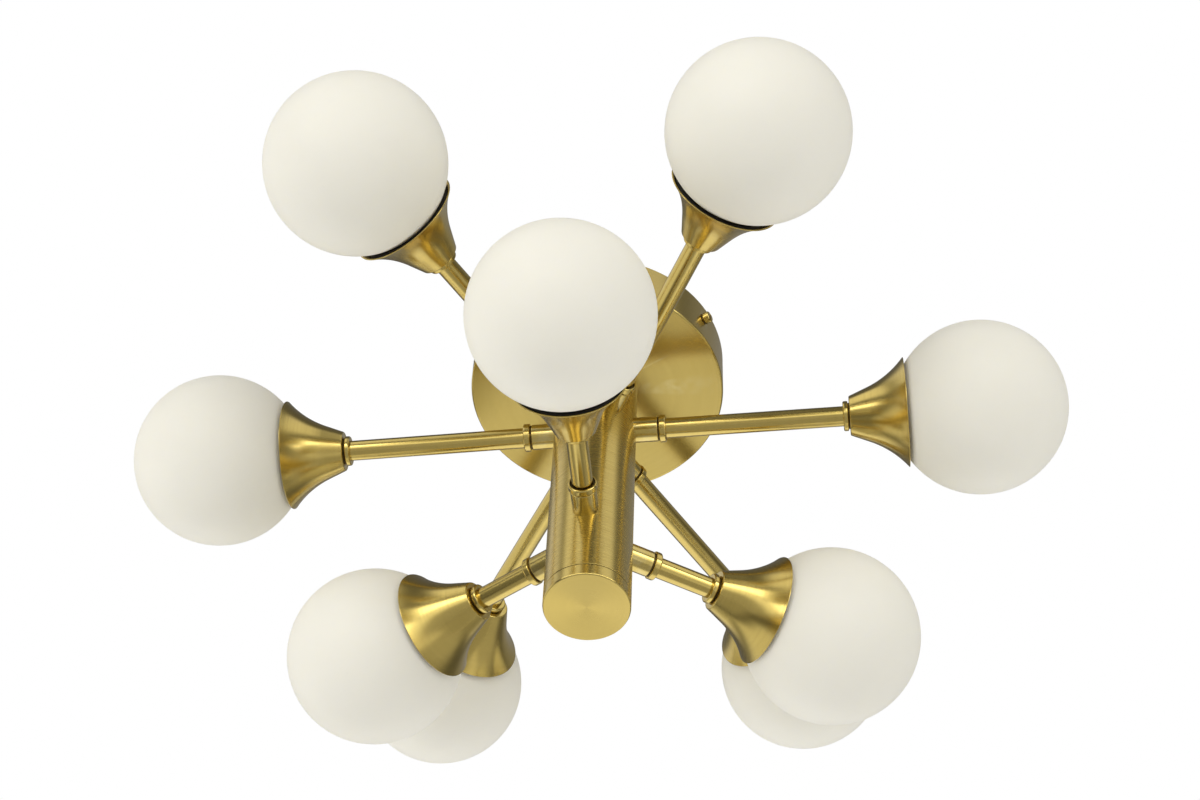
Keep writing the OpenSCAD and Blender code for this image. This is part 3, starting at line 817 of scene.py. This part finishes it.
class CEILINGLIGHT_OT_bracket(PieceOperator):
    """Steel strap with bent ends, screw holes and a cable hole"""
    bl_idname = "ceilinglight.bracket"
    bl_label = "Ceiling bracket"

    def make(self):
        s = self.canopy
        bend = s.bracket_sheet * 1.5
        strap = bmesh.new()
        corners = [
            (-s.bracket_half, -s.bracket_leg, 0), (-s.bracket_half, 0, bend), (s.bracket_half, 0, bend),
            (s.bracket_half, -s.bracket_leg, 0), (s.bracket_half - s.bracket_sheet, -s.bracket_leg, 0),
            (s.bracket_half - s.bracket_sheet, -s.bracket_sheet, bend / 3),
            (-s.bracket_half + s.bracket_sheet, -s.bracket_sheet, bend / 3),
            (-s.bracket_half + s.bracket_sheet, -s.bracket_leg, 0),
        ]
        prism_into(strap, rounded(corners), -s.bracket_width / 2, s.bracket_width / 2)
        piece = finish_mesh("bracket_strap", strap)
        piece.data.transform(Matrix.Rotation(pi / 2, 4, "X"))
        holes = [(s.ceiling_hole_place, s.ceiling_hole), (-s.ceiling_hole_place, s.ceiling_hole),
                 (s.cable_hole_place, s.cable_hole),
                 (s.block_screw_place, s.screw_radius), (-s.block_screw_place, s.screw_radius)]
        cutters = [drill(radius, -THROUGH, THROUGH, 40, Matrix.Translation((x, 0, 0))) for x, radius in holes]
        lying = Matrix.Translation((0, 0, -s.screw_depth)) @ Matrix.Rotation(pi / 2, 4, "Y")
        half_length = s.bracket_half + THROUGH
        cutters.append(drill(s.screw_radius, -half_length, half_length, 40, lying))
        piece = cut(piece, cutters)
        settle(piece, "root", plated_steel(), ["ceiling_bracket"], bracket_turn())


class CEILINGLIGHT_OT_side_screws(PieceOperator):
    """Two brass screws with round slotted heads that hold the canopy"""
    bl_idname = "ceilinglight.side_screws"
    bl_label = "Side screws"

    def make(self):
        s = self.canopy
        for side, turn in (("right", 0), ("left", pi)):
            top = s.head_start + s.head_height
            corners = screw_thread(s.screw_radius, s.screw_start, s.head_start)
            corners += [(s.screw_radius, s.head_start, 0), (s.head_radius, s.head_start, 0.3 * MM),
                        (s.head_radius, top, 0.9 * MM), (0, top, 0)]
            screw = turned("side_screw_" + side, rounded(corners, 5), 64)
            slot = bmesh.new()
            prism_into(slot, rounded(rectangle(THROUGH, 0.5 * MM)), top - 1.3 * MM, top + THROUGH)
            screw = cut(screw, [finish_mesh("slot_cutter", slot)])
            lying = Matrix.Translation((0, 0, -s.screw_depth)) @ Matrix.Rotation(pi / 2, 4, "Y")
            node = "canopy_screw_" + side
            settle(screw, node, brushed_brass("small"), [node],
                   bracket_turn() @ Matrix.Rotation(turn, 4, "Z") @ lying)


class CEILINGLIGHT_OT_terminal_block(PieceOperator):
    """Moulded block with barrier ribs and recesses for two screw heads"""
    bl_idname = "ceilinglight.terminal_block"
    bl_label = "Terminal block"

    def make(self):
        s = self.canopy
        low = -s.bracket_sheet - s.block_height
        body = bmesh.new()
        half, wide = s.block_length / 2, s.block_width / 2
        prism_into(body, rounded(rectangle(half, wide, 2 * MM)), low, -s.bracket_sheet)
        block = finish_mesh("terminal_block_body", body)
        cutters = []
        for side in (-1, 1):
            cutters.append(drill(s.pan_radius * 1.1, low - THROUGH, low + s.pan_height, 40,
                                 Matrix.Translation((side * s.block_screw_place, 0, 0))))
            for y in (-10 * MM, 0, 10 * MM):
                groove = bmesh.new()
                prism_into(groove, [(side * half * 0.94, y - 3 * MM), (side * half * 1.1, y - 3 * MM),
                                    (side * half * 1.1, y + 3 * MM), (side * half * 0.94, y + 3 * MM)],
                           low + 3 * MM, low + 8 * MM)
                cutters.append(finish_mesh("groove", groove))
        block = cut(block, cutters)
        bevel = block.modifiers.new("broken edges", "BEVEL")
        bevel.width = 0.35 * MM
        bevel.segments = 2
        bevel.limit_method = "ANGLE"
        bevel.angle_limit = radians(40)
        block.modifiers.move(1, 0)
        settle(block, "root", block_plastic(), ["terminal_block"], bracket_turn())


class CEILINGLIGHT_OT_inside_screws(PieceOperator):
    """Pan-head steel screws: three in the column's head and two in the block"""
    bl_idname = "ceilinglight.inside_screws"
    bl_label = "Inside screws"

    def screw(self, name, thread, matrix):
        """One screw with its head upwards from z = 0 and its thread below."""
        s = self.canopy
        corners = screw_thread(s.screw_radius, -thread, 0)
        corners += [(s.screw_radius * 0.9, 0, 0), (s.pan_radius, 0, 0.2 * MM),
                    (s.pan_radius, s.pan_height, 1.4 * MM), (0, s.pan_height, 0)]
        piece = turned(name, rounded(corners, 5), 48)
        cross = []
        for turn in (0, pi / 2):
            blade = bmesh.new()
            long, thin = s.pan_radius * 0.62, 0.45 * MM
            prism_into(blade, rounded(rectangle(long, thin)), s.pan_height * 0.45, s.pan_height * 1.5)
            cutter = finish_mesh("recess", blade)
            place(cutter, Matrix.Rotation(turn, 4, "Z"))
            cross.append(cutter)
        piece = cut(piece, cross)
        settle(piece, "root", plated_steel(), ["inside_screws"], matrix)

    def make(self):
        s = self.canopy
        floor = -s.canopy_height + s.canopy_wall
        for i in range(3):
            spot = Matrix.Translation((s.column_screw_circle, 0, floor))
            spot = Matrix.Rotation(2 * pi * i / 3, 4, "Z") @ spot
            self.screw(f"column_screw_{i + 1}", s.column_screw_thread, spot)
        seat = -s.bracket_sheet - s.block_height + s.pan_height
        for i, side in enumerate((-1, 1)):
            spot = bracket_turn() @ Matrix.Translation((side * s.block_screw_place, 0, seat))
            self.screw(f"block_screw_{i + 1}", -seat - 0.2 * MM, spot @ Matrix.Rotation(pi, 4, "X"))


class CEILINGLIGHT_OT_column(PieceOperator):
    """Brushed brass tube of the column"""
    bl_idname = "ceilinglight.column"
    bl_label = "Column"

    def make(self):
        s = self.column
        low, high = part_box("column_tube")
        tube = ring("column_tube_brushed", s.column_radius, s.column_radius - s.column_wall, low.z, high.z,
                    0.25 * MM, 192)
        settle(tube, "root", brushed_brass("column"), ["column_tube"])


class CEILINGLIGHT_OT_column_head(PieceOperator):
    """Steel ring inside the top of the column"""
    bl_idname = "ceilinglight.column_head"
    bl_label = "Column head"

    def make(self):
        head = frame["nodes"]["column_head"]
        head.data.materials.clear()
        head.data.materials.append(plated_steel())


class CEILINGLIGHT_OT_end_cap(PieceOperator):
    """Turned brass cap with a shadow groove and a spigot"""
    bl_idname = "ceilinglight.end_cap"
    bl_label = "End cap"

    def make(self):
        s = self.column
        low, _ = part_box("end_cap")
        bottom = low.z
        top = bottom + s.cap_side
        plug = s.column_radius - s.column_wall - SLIDE_FIT
        cap = turned("end_cap_turned", rounded([
            (0, bottom, 0),
            (s.column_radius, bottom, s.cap_edge),
            (s.column_radius, top, 0.25 * MM),
            (s.column_radius - s.groove_depth, top, 0.1 * MM),
            (s.column_radius - s.groove_depth, top + s.groove_height, 0.1 * MM),
            (plug, top + s.groove_height, 0),
            (plug, top + s.spigot, 0.4 * MM),
            (plug - s.spigot_wall, top + s.spigot, 0.4 * MM),
            (plug - s.spigot_wall, top, 0.6 * MM),
            (0, top, 0),
        ]), 192)
        # Painted shade in the groove above the cap.
        painted_shade(cap, top - 0.1 * MM, top + s.groove_height + 0.1 * MM, s.column_radius - 0.05 * MM)
        settle(cap, "root", brushed_brass("cap"), ["end_cap"])


class CEILINGLIGHT_OT_bosses(PieceOperator):
    """Turned bosses that carry the arms on the column"""
    bl_idname = "ceilinglight.bosses"
    bl_label = "Arm bosses"

    def make(self):
        a = self.arm
        inside = self.column.column_radius - self.column.column_wall - 1 * MM
        for name, matrix, reach in arms():
            boss = turned("boss_" + name, rounded([
                (a.tube_bore, inside - reach, 0.2 * MM),
                (a.boss_radius - 2.4 * MM, inside - reach, 0.2 * MM),
                (a.boss_radius - 2.4 * MM, inside + 1 * MM - reach, 0),
                (a.boss_radius, inside + 1 * MM - reach, 0),
                (a.boss_radius, a.boss_end - reach, a.small_edge),
                (a.tube_radius + SLIDE_FIT, a.boss_end - reach, 0.2 * MM),
                (a.tube_radius + SLIDE_FIT, a.tube_start - reach, 0),
                (a.tube_bore, a.tube_start - reach, 0),
            ]), 96)
            settle(boss, "root", brushed_brass("fittings"), ["arm_bosses"], matrix)


class CEILINGLIGHT_OT_collar_nuts(PieceOperator):
    """Round collar nuts with a countersink round the tube"""
    bl_idname = "ceilinglight.collar_nuts"
    bl_label = "Collar nuts"

    def make(self):
        a = self.arm
        for name, matrix, reach in arms():
            hub = a.boss_end - reach
            start = hub + a.collar_groove
            end = start + a.collar_length
            bore = a.tube_radius + SLIDE_FIT
            lip = (a.collar_radius - a.tube_radius) / 2
            nut = turned("collar_nut_" + name, rounded([
                (bore, hub, 0),
                (a.collar_hub, hub, 0.1 * MM),
                (a.collar_hub, start, 0.1 * MM),
                (a.collar_radius, start, a.small_edge),
                (a.collar_radius, end, a.small_edge * 1.6),
                (a.tube_radius + lip, end, 0.3 * MM),
                (a.tube_radius + lip * 0.9, end - lip * 1.2, 0.3 * MM),
                (bore, end - lip * 1.2, 0),
            ]), 96)
            # Painted shade in the groove behind the collar nut and in its countersink.
            painted_shade(nut, hub, start, a.collar_hub + 0.1 * MM)
            painted_shade(nut, end - lip * 1.3, end - 0.2 * MM, a.tube_radius + lip * 0.98)
            settle(nut, "root", brushed_brass("fittings"), ["collar_nuts"], matrix)


class CEILINGLIGHT_OT_arm_tubes(PieceOperator):
    """Straight brass tubes of the arms"""
    bl_idname = "ceilinglight.arm_tubes"
    bl_label = "Arm tubes"

    def make(self):
        a = self.arm
        for name, matrix, reach in arms():
            tube = ring("arm_tube_" + name + "_drawn", a.tube_radius, a.tube_bore, a.tube_start - reach,
                        -self.shape.back, 0.2 * MM)
            settle(tube, "root", brushed_brass("tubes"), ["arm_tube_" + name], matrix)


class CEILINGLIGHT_OT_cup_rings(PieceOperator):
    """Rounded rings behind the bell cups"""
    bl_idname = "ceilinglight.cup_rings"
    bl_label = "Cup rings"

    def make(self):
        a = self.arm
        bore = a.tube_radius + SLIDE_FIT
        back = -self.shape.back
        front = back - a.ring_gap
        for name, matrix, _ in arms():
            band = turned("cup_ring_" + name, rounded([
                (bore, front - a.ring_length, 0.2 * MM),
                (a.ring_radius, front - a.ring_length, a.small_edge * 1.6),
                (a.ring_radius, front, a.small_edge * 1.2),
                (a.ring_hub, front, 0.1 * MM),
                (a.ring_hub, back, 0),
                (bore, back, 0),
            ]), 96)
            # Painted shade in the gap between the ring and the cup.
            painted_shade(band, front, back, a.ring_hub + 0.1 * MM)
            settle(band, "root", brushed_brass("fittings"), ["cup_rings"], matrix)


class CEILINGLIGHT_OT_bell_cups(PieceOperator):
    """Spun brass bell cups with a thin rounded rim"""
    bl_idname = "ceilinglight.bell_cups"
    bl_label = "Bell cups"

    def make(self):
        s = self.cup
        shape = self.shape
        steps = 34
        first = s.cup_wall * 2.5
        walk = [first + (s.cup_length - first) * i / steps for i in range(steps + 1)]
        lip = s.cup_wall / 2
        outer = [(shape.outer(x), x, 0) for x in walk[:-1]]
        inner = [(shape.inner(x), x, 0) for x in walk[-2:0:-1]]
        corners = [(s.nipple_hole, 0, 0), (s.throat_radius, 0, s.throat_edge)] + outer
        corners += [(shape.outer(s.cup_length), s.cup_length, lip * 0.6),
                    (shape.inner(s.cup_length), s.cup_length, lip * 0.6)]
        corners += inner + [(shape.inner(first), first, 0),
                            (shape.inner(s.cup_wall), s.cup_wall, 0.5 * MM), (s.nipple_hole, s.cup_wall, 0)]
        outline = [(radius, x - shape.back) for radius, x in rounded(corners, 5)]
        turn_for_arms("bell_cup_{}_spun", outline, 160, brushed_brass("cups"), "bell_cup_{}",
                      moves=False)


class CEILINGLIGHT_OT_seal_rings(PieceOperator):
    """Black rubber rings between the cups and the globes"""
    bl_idname = "ceilinglight.seal_rings"
    bl_label = "Seal rings"

    def make(self):
        s = self.cup
        shape = self.shape
        face = s.cup_length - s.seal_recess
        rear = face - s.seal_length
        seat = s.globe_radius + s.seal_gap
        bore = s.neck_radius + s.seal_gap
        back = shape.back

        def on_globe(x):
            return sqrt(seat ** 2 - (back - x) ** 2)

        middle = [rear + s.seal_length * i / 6 for i in range(1, 6)]
        corners = [(bore, rear, 0.2 * MM), (shape.inner(rear) - s.seal_gap, rear, 0.5 * MM),
                   (shape.inner(face) - s.seal_gap, face, 0.6 * MM), (on_globe(face), face, 0.3 * MM)]
        corners += [(max(on_globe(x), bore), x, 0) for x in middle[::-1]]
        outline = [(radius, x - back) for radius, x in rounded(corners, 4)]
        turn_for_arms("seal_ring_{}_moulded", outline, 128, black_rubber(), "seal_ring_{}")


class CEILINGLIGHT_OT_globes(PieceOperator):
    """Blown opal globes with a threaded neck"""
    bl_idname = "ceilinglight.globes"
    bl_label = "Globes"

    def make(self):
        s = self.cup
        neck_end = -(self.shape.rim_back + s.neck_depth)
        inside = s.globe_radius - s.glass_wall
        bore = s.neck_radius - s.glass_wall
        outer_turn = asin(s.neck_radius / s.globe_radius)
        inner_turn = asin(bore / inside)
        steps = 72
        outer_walk = [outer_turn + (pi - outer_turn) * i / steps for i in range(steps + 1)]
        inner_walk = [inner_turn + (pi - inner_turn) * i / steps for i in range(steps + 1)]
        corners = [(s.globe_radius * sin(a), -s.globe_radius * cos(a), 0) for a in outer_walk[1:-1]]
        corners += [(0, s.globe_radius, 0), (0, inside, 0)]
        corners += [(inside * sin(a), -inside * cos(a), 0) for a in inner_walk[-2:0:-1]]
        foot = -sqrt(inside ** 2 - bore ** 2)
        crest = foot - 3 * MM
        corners.append((bore, foot, 0.5 * MM))
        while crest > neck_end + s.thread_pitch / 2:
            corners += [(bore, crest, 0.5 * MM), (bore - 0.25 * MM, crest - s.thread_pitch / 4, 0.5 * MM),
                        (bore, crest - s.thread_pitch / 2, 0.5 * MM)]
            crest -= s.thread_pitch
        corners += [(bore, neck_end, 0.8 * MM), (s.neck_radius, neck_end, 0.8 * MM)]
        corners.append((s.neck_radius, -sqrt(s.globe_radius ** 2 - s.neck_radius ** 2), 0))
        outline = rounded(corners, 4)
        turn_for_arms("globe_{}_glass", outline, 160, opal_glass(), "globe_{}")


class CEILINGLIGHT_OT_lampholders(PieceOperator):
    """Glazed porcelain lampholders with a coarse outside thread"""
    bl_idname = "ceilinglight.lampholders"
    bl_label = "Lampholders"

    def make(self):
        s = self.cup
        back = -(self.shape.back - s.cup_wall)
        face = back + s.holder_length
        shoulder = back + s.holder_foot
        corners = [(self.arm.tube_bore, back, 0.2 * MM), (s.holder_foot_radius, back, 0.8 * MM),
                   (s.holder_foot_radius, shoulder, 0.6 * MM),
                   (s.holder_radius - 0.5 * MM, shoulder, 0.8 * MM)]
        crest = shoulder + s.thread_pitch
        while crest < face - s.thread_pitch / 2:
            corners += [(s.holder_radius - 0.5 * MM, crest - s.thread_pitch / 2, 0.5 * MM),
                        (s.holder_radius, crest - s.thread_pitch / 4, 0.5 * MM),
                        (s.holder_radius - 0.5 * MM, crest, 0.5 * MM)]
            crest += s.thread_pitch
        corners += [(s.holder_radius - 0.5 * MM, face, 1.2 * MM), (0, face, 0), (0, back + 8 * MM, 0),
                    (self.arm.tube_bore, back + 8 * MM, 0)]
        outline = rounded(corners, 4)
        for name, matrix, _ in arms():
            holder = turned("lampholder_" + name, outline, 96)
            spots = [Matrix.Translation((0, side * s.pin_spacing / 2, 0)) for side in (-1, 1)]
            bottom = face - s.pin_length - 1 * MM
            holder = cut(holder, [drill(s.pin_radius + s.pin_gap, bottom, face + THROUGH, 24, spot)
                                  for spot in spots])
            settle(holder, "root", glazed_porcelain(), ["lampholders"], matrix)


class CEILINGLIGHT_OT_lamps(PieceOperator):
    """Bi-pin lamps: a domed frosted glass, a flat pinch and two looped pins"""
    bl_idname = "ceilinglight.lamps"
    bl_label = "Lamps"

    def make(self):
        s = self.cup
        face = -(self.shape.back - s.cup_wall) + s.holder_length
        foot = face + s.pin_gap
        dome = foot + s.lamp_length
        for name, matrix, _ in arms():
            mesh = bmesh.new()
            spin_into(mesh, rounded([(0, foot + s.lamp_foot - 1 * MM, 0),
                                     (s.lamp_radius, foot + s.lamp_foot - 1 * MM, 3 * MM),
                                     (s.lamp_radius, dome, s.lamp_radius * 0.96), (0, dome, 0)], 12), 48)
            pinch = rectangle(2 * s.pin_radius, s.lamp_radius, 1 * MM)
            prism_into(mesh, rounded(pinch), foot, foot + s.lamp_foot)
            glass = finish_mesh("lamp_" + name + "_glass", mesh)
            settle(glass, "lamp_" + name, lamp_glass(), ["lamp_" + name], matrix)
            wires = bmesh.new()
            for side in (-1, 1):
                y = side * s.pin_spacing / 2
                wire = s.pin_radius * 0.45
                wide = s.pin_radius - wire
                end = foot - s.pin_length
                path = [Vector((wide, y, foot + 1 * MM)), Vector((wide, y, end + wide))]
                path += [Vector((wide * cos(pi * i / 8), y, end + wide - wide * sin(pi * i / 8)))
                         for i in range(1, 8)]
                path += [Vector((-wide, y, end + wide)), Vector((-wide, y, foot + 1 * MM))]
                sweep_into(wires, path, wire, 10)
            pins = finish_mesh("lamp_" + name + "_pins", wires)
            settle(pins, "lamp_" + name, plated_steel(), ["lamp_" + name], matrix)


class CEILINGLIGHT_OT_nipples(PieceOperator):
    """Hollow threaded nipples that hold the cups and lampholders"""
    bl_idname = "ceilinglight.nipples"
    bl_label = "Hollow nipples"

    def make(self):
        nipples = frame["nodes"]["hollow_nipples"]
        nipples.data.materials.clear()
        nipples.data.materials.append(plated_steel())


class CEILINGLIGHT_OT_leads(PieceOperator):
    """Pairs of insulated wires from the terminal block to the lampholders"""
    bl_idname = "ceilinglight.leads"
    bl_label = "Leads"

    def make(self):
        s = self.cup
        block = -self.canopy.bracket_sheet - self.canopy.block_height
        sleeves = (("brown", wire_sleeve("sleeve_brown", (0.16, 0.07, 0.035))),
                   ("blue", wire_sleeve("sleeve_blue", (0.05, 0.12, 0.32))))
        bend = 6 * MM
        for name, matrix, reach in arms():
            centre = matrix.translation
            out = Vector((centre.x, centre.y, 0)).normalized()
            level = centre.z
            far = reach - self.shape.back + s.cup_wall + 7.5 * MM
            spine = [out * far + Vector((0, 0, level))]
            run = far - s.wire_circle - bend
            spine += [out * (far - run * i / 40) + Vector((0, 0, level)) for i in range(1, 41)]
            corner = out * (s.wire_circle + bend) + Vector((0, 0, level + bend))
            spine += [corner - out * bend * sin(pi / 2 * i / 8) - Vector((0, 0, bend * cos(pi / 2 * i / 8)))
                      for i in range(1, 9)]
            rise = block - (level + bend)
            spine += [out * s.wire_circle + Vector((0, 0, level + bend + rise * i / 40)) for i in range(1, 41)]
            side = out.cross(Vector((0, 0, 1)))
            for number, (tone, finish) in enumerate(sleeves):
                mesh = bmesh.new()
                path = []
                for i, point in enumerate(spine):
                    twist = 2 * pi * i / 16 + pi * number
                    along = spine[min(i + 1, len(spine) - 1)] - spine[max(i - 1, 0)]
                    along.normalize()
                    other = along.cross(side)
                    path.append(point + (side * cos(twist) + other * sin(twist)) * s.wire_radius * 1.04)
                sweep_into(mesh, path, s.wire_radius, 12)
                wire = finish_mesh(f"lead_{name}_{tone}", mesh)
                settle(wire, "root", finish, ["lamp_leads"])


# The floor's sizes are in metres. It is small, so that the brass reflects more of the room and less of it.
# Matt surfaces and shiny ones are lit by different rooms. Shiny ones see ROOM_LEVEL and the SOFT_BOXES.
# Matt ones see FILL_LEVEL all round, the broad FILL_BOX from below and behind, and only BOXES_ON_MATT of the
# shiny room. Each box: bearing (0 is along -Y, 90 is along +X), low and high elevation, half width, softness,
# level. The angles are in degrees.
FLOOR_HALF_WIDTH = 2.0
FLOOR_CORNER = 0.3
FLOOR_THICKNESS = 0.05
ROOM_LEVEL = 0.13
FILL_LEVEL = 0.44
FILL_BOX = (205, -72, 0, 110, 16, 1.0)
BOXES_ON_MATT = 0.03
SOFT_BOXES = (
    (8, -9, 7, 58, 3, 3.6),
    (10, -24, -9, 58, 6, 1.2),
    (10, -62, -22, 60, 8, 0.34),
    (189, -58, 8, 30, 14, 1.08),
    (262, -40, 60, 24, 9, 0.75),
    (325, 20, 60, 24, 8, 1.0),
    (50, 20, 60, 22, 8, 0.8),
    (95, -70, -12, 42, 14, 0.38),
    (140, 22, 60, 42, 12, 0.16),
)


class CEILINGLIGHT_OT_stage(bpy.types.Operator):
    """Pale floor, soft studio light and the camera"""
    bl_idname = "ceilinglight.stage"
    bl_label = "Stage"
    bl_options = {"REGISTER", "UNDO"}

    def floor(self, depth):
        """A plain pale floor far under the light."""
        mesh = bmesh.new()
        sheet = rectangle(FLOOR_HALF_WIDTH, FLOOR_HALF_WIDTH, FLOOR_CORNER)
        prism_into(mesh, rounded(sheet), depth - FLOOR_THICKNESS, depth)
        ground = finish_mesh("studio_floor", mesh)
        made, graph, shader = new_material("pale_floor")
        spot = graph.add("ShaderNodeTexCoord").outputs["Object"]
        tone = graph.mix(graph.noise(spot, 3.0), (0.80, 0.79, 0.77), (0.84, 0.83, 0.81))
        graph.feed(shader.inputs["Base Color"], tone)
        shader.inputs["Roughness"].default_value = 0.8
        ground.data.materials.append(made)

    def soft_box(self, graph, direction, bearing, low, high, half_width, soft, level):
        """One far soft box in the room: its bearing, its two elevations and half its width, in degrees."""
        axes = graph.add("ShaderNodeSeparateXYZ", {"Vector": direction}).outputs
        level_way = graph.add("ShaderNodeCombineXYZ", {"X": axes["X"], "Y": axes["Y"]}).outputs[0]
        flat = graph.add("ShaderNodeVectorMath", {0: level_way}, operation="NORMALIZE").outputs[0]
        centre = (sin(radians(bearing)), -cos(radians(bearing)), 0)
        dot = graph.add("ShaderNodeVectorMath", {0: flat, 1: centre}, operation="DOT_PRODUCT")
        facing = dot.outputs["Value"]
        across = graph.ramp(facing, cos(radians(half_width + soft)), cos(radians(max(half_width - soft, 0))))
        above = graph.ramp(axes["Z"], sin(radians(low - soft)), sin(radians(low + soft)))
        below = graph.ramp(axes["Z"], sin(radians(high + soft)), sin(radians(high - soft)))
        height = graph.maths("MULTIPLY", above, below)
        return graph.maths("MULTIPLY", graph.maths("MULTIPLY", across, level), height)

    def room(self, strength):
        """A soft studio: plain white to the camera, one room for shiny surfaces and another for matt ones."""
        world = bpy.data.worlds.new("studio")
        bpy.context.scene.world = world
        world.use_nodes = True
        graph = Graph(world.node_tree)
        paths = graph.add("ShaderNodeLightPath").outputs
        direction = graph.add("ShaderNodeTexCoord").outputs["Generated"]
        boxes = ROOM_LEVEL
        for box in SOFT_BOXES:
            boxes = graph.maths("ADD", boxes, self.soft_box(graph, direction, *box))
        matt = graph.maths("ADD", FILL_LEVEL, self.soft_box(graph, direction, *FILL_BOX))
        matt = graph.maths("ADD", matt, graph.maths("MULTIPLY", boxes, BOXES_ON_MATT - 1.0))
        total = graph.maths("ADD", boxes, graph.maths("MULTIPLY", paths["Is Diffuse Ray"], matt))
        level = graph.maths("MULTIPLY", total, strength)
        soft = graph.add("ShaderNodeBackground", {"Color": (1, 0.985, 0.955, 1), "Strength": level})
        plain = graph.add("ShaderNodeBackground", {"Color": (1, 1, 1, 1), "Strength": 1.0})
        both = graph.add("ShaderNodeMixShader", {0: paths["Is Camera Ray"], 1: soft.outputs[0],
                                                 2: plain.outputs[0]})
        graph.add("ShaderNodeOutputWorld", {"Surface": both.outputs[0]})

    def execute(self, context):
        studio = context.scene.ceiling_light_studio
        data = bpy.data.cameras.new("studio_camera")
        data.lens = studio.camera_lens
        data.sensor_width = 36
        data.clip_start = 0.05
        camera = bpy.data.objects.new("studio_camera", data)
        context.scene.collection.objects.link(camera)
        camera.location = studio.camera_place
        camera.rotation_euler = studio.camera_turn
        context.scene.camera = camera
        context.scene.view_settings.view_transform = "Standard"
        self.floor(studio.floor_depth)
        self.room(studio.room_light)
        return {"FINISHED"}


# ---------------------------------------------------------------- panel and registration

PIECES = (
    CEILINGLIGHT_OT_canopy,
    CEILINGLIGHT_OT_bracket,
    CEILINGLIGHT_OT_side_screws,
    CEILINGLIGHT_OT_terminal_block,
    CEILINGLIGHT_OT_inside_screws,
    CEILINGLIGHT_OT_column,
    CEILINGLIGHT_OT_column_head,
    CEILINGLIGHT_OT_end_cap,
    CEILINGLIGHT_OT_bosses,
    CEILINGLIGHT_OT_collar_nuts,
    CEILINGLIGHT_OT_arm_tubes,
    CEILINGLIGHT_OT_cup_rings,
    CEILINGLIGHT_OT_bell_cups,
    CEILINGLIGHT_OT_seal_rings,
    CEILINGLIGHT_OT_globes,
    CEILINGLIGHT_OT_lampholders,
    CEILINGLIGHT_OT_lamps,
    CEILINGLIGHT_OT_nipples,
    CEILINGLIGHT_OT_leads,
)

SETTINGS = {
    "ceiling_light_canopy": CeilingLightCanopySizes,
    "ceiling_light_column": CeilingLightColumnSizes,
    "ceiling_light_arm": CeilingLightArmSizes,
    "ceiling_light_cup": CeilingLightCupSizes,
    "ceiling_light_finish": CeilingLightFinish,
    "ceiling_light_studio": CeilingLightStudio,
}


class CEILINGLIGHT_PT_panel(bpy.types.Panel):
    """Lists the pieces and their settings in the sidebar"""
    bl_idname = "CEILINGLIGHT_PT_panel"
    bl_label = "Ceiling Light"
    bl_space_type = "VIEW_3D"
    bl_region_type = "UI"
    bl_category = "Ceiling Light"

    def draw(self, context):
        for piece in (CEILINGLIGHT_OT_stage, *PIECES):
            self.layout.operator(piece.bl_idname)
        for name, group in SETTINGS.items():
            box = self.layout.box()
            box.label(text=group.__doc__)
            for prop in group.__annotations__:
                box.prop(getattr(context.scene, name), prop)


CLASSES = (*SETTINGS.values(), *PIECES, CEILINGLIGHT_OT_stage, CEILINGLIGHT_PT_panel)


def register():
    for made in CLASSES:
        bpy.utils.register_class(made)
    for name, group in SETTINGS.items():
        setattr(bpy.types.Scene, name, PointerProperty(type=group))


def unregister():
    for name in SETTINGS:
        delattr(bpy.types.Scene, name)
    for made in reversed(CLASSES):
        bpy.utils.unregister_class(made)


def main():
    """Makes the stage and every piece."""
    register()
    bpy.ops.ceilinglight.stage()
    for piece in PIECES:
        getattr(bpy.ops.ceilinglight, piece.bl_idname.split(".")[1])()


if __name__ == "__main__":
    main()
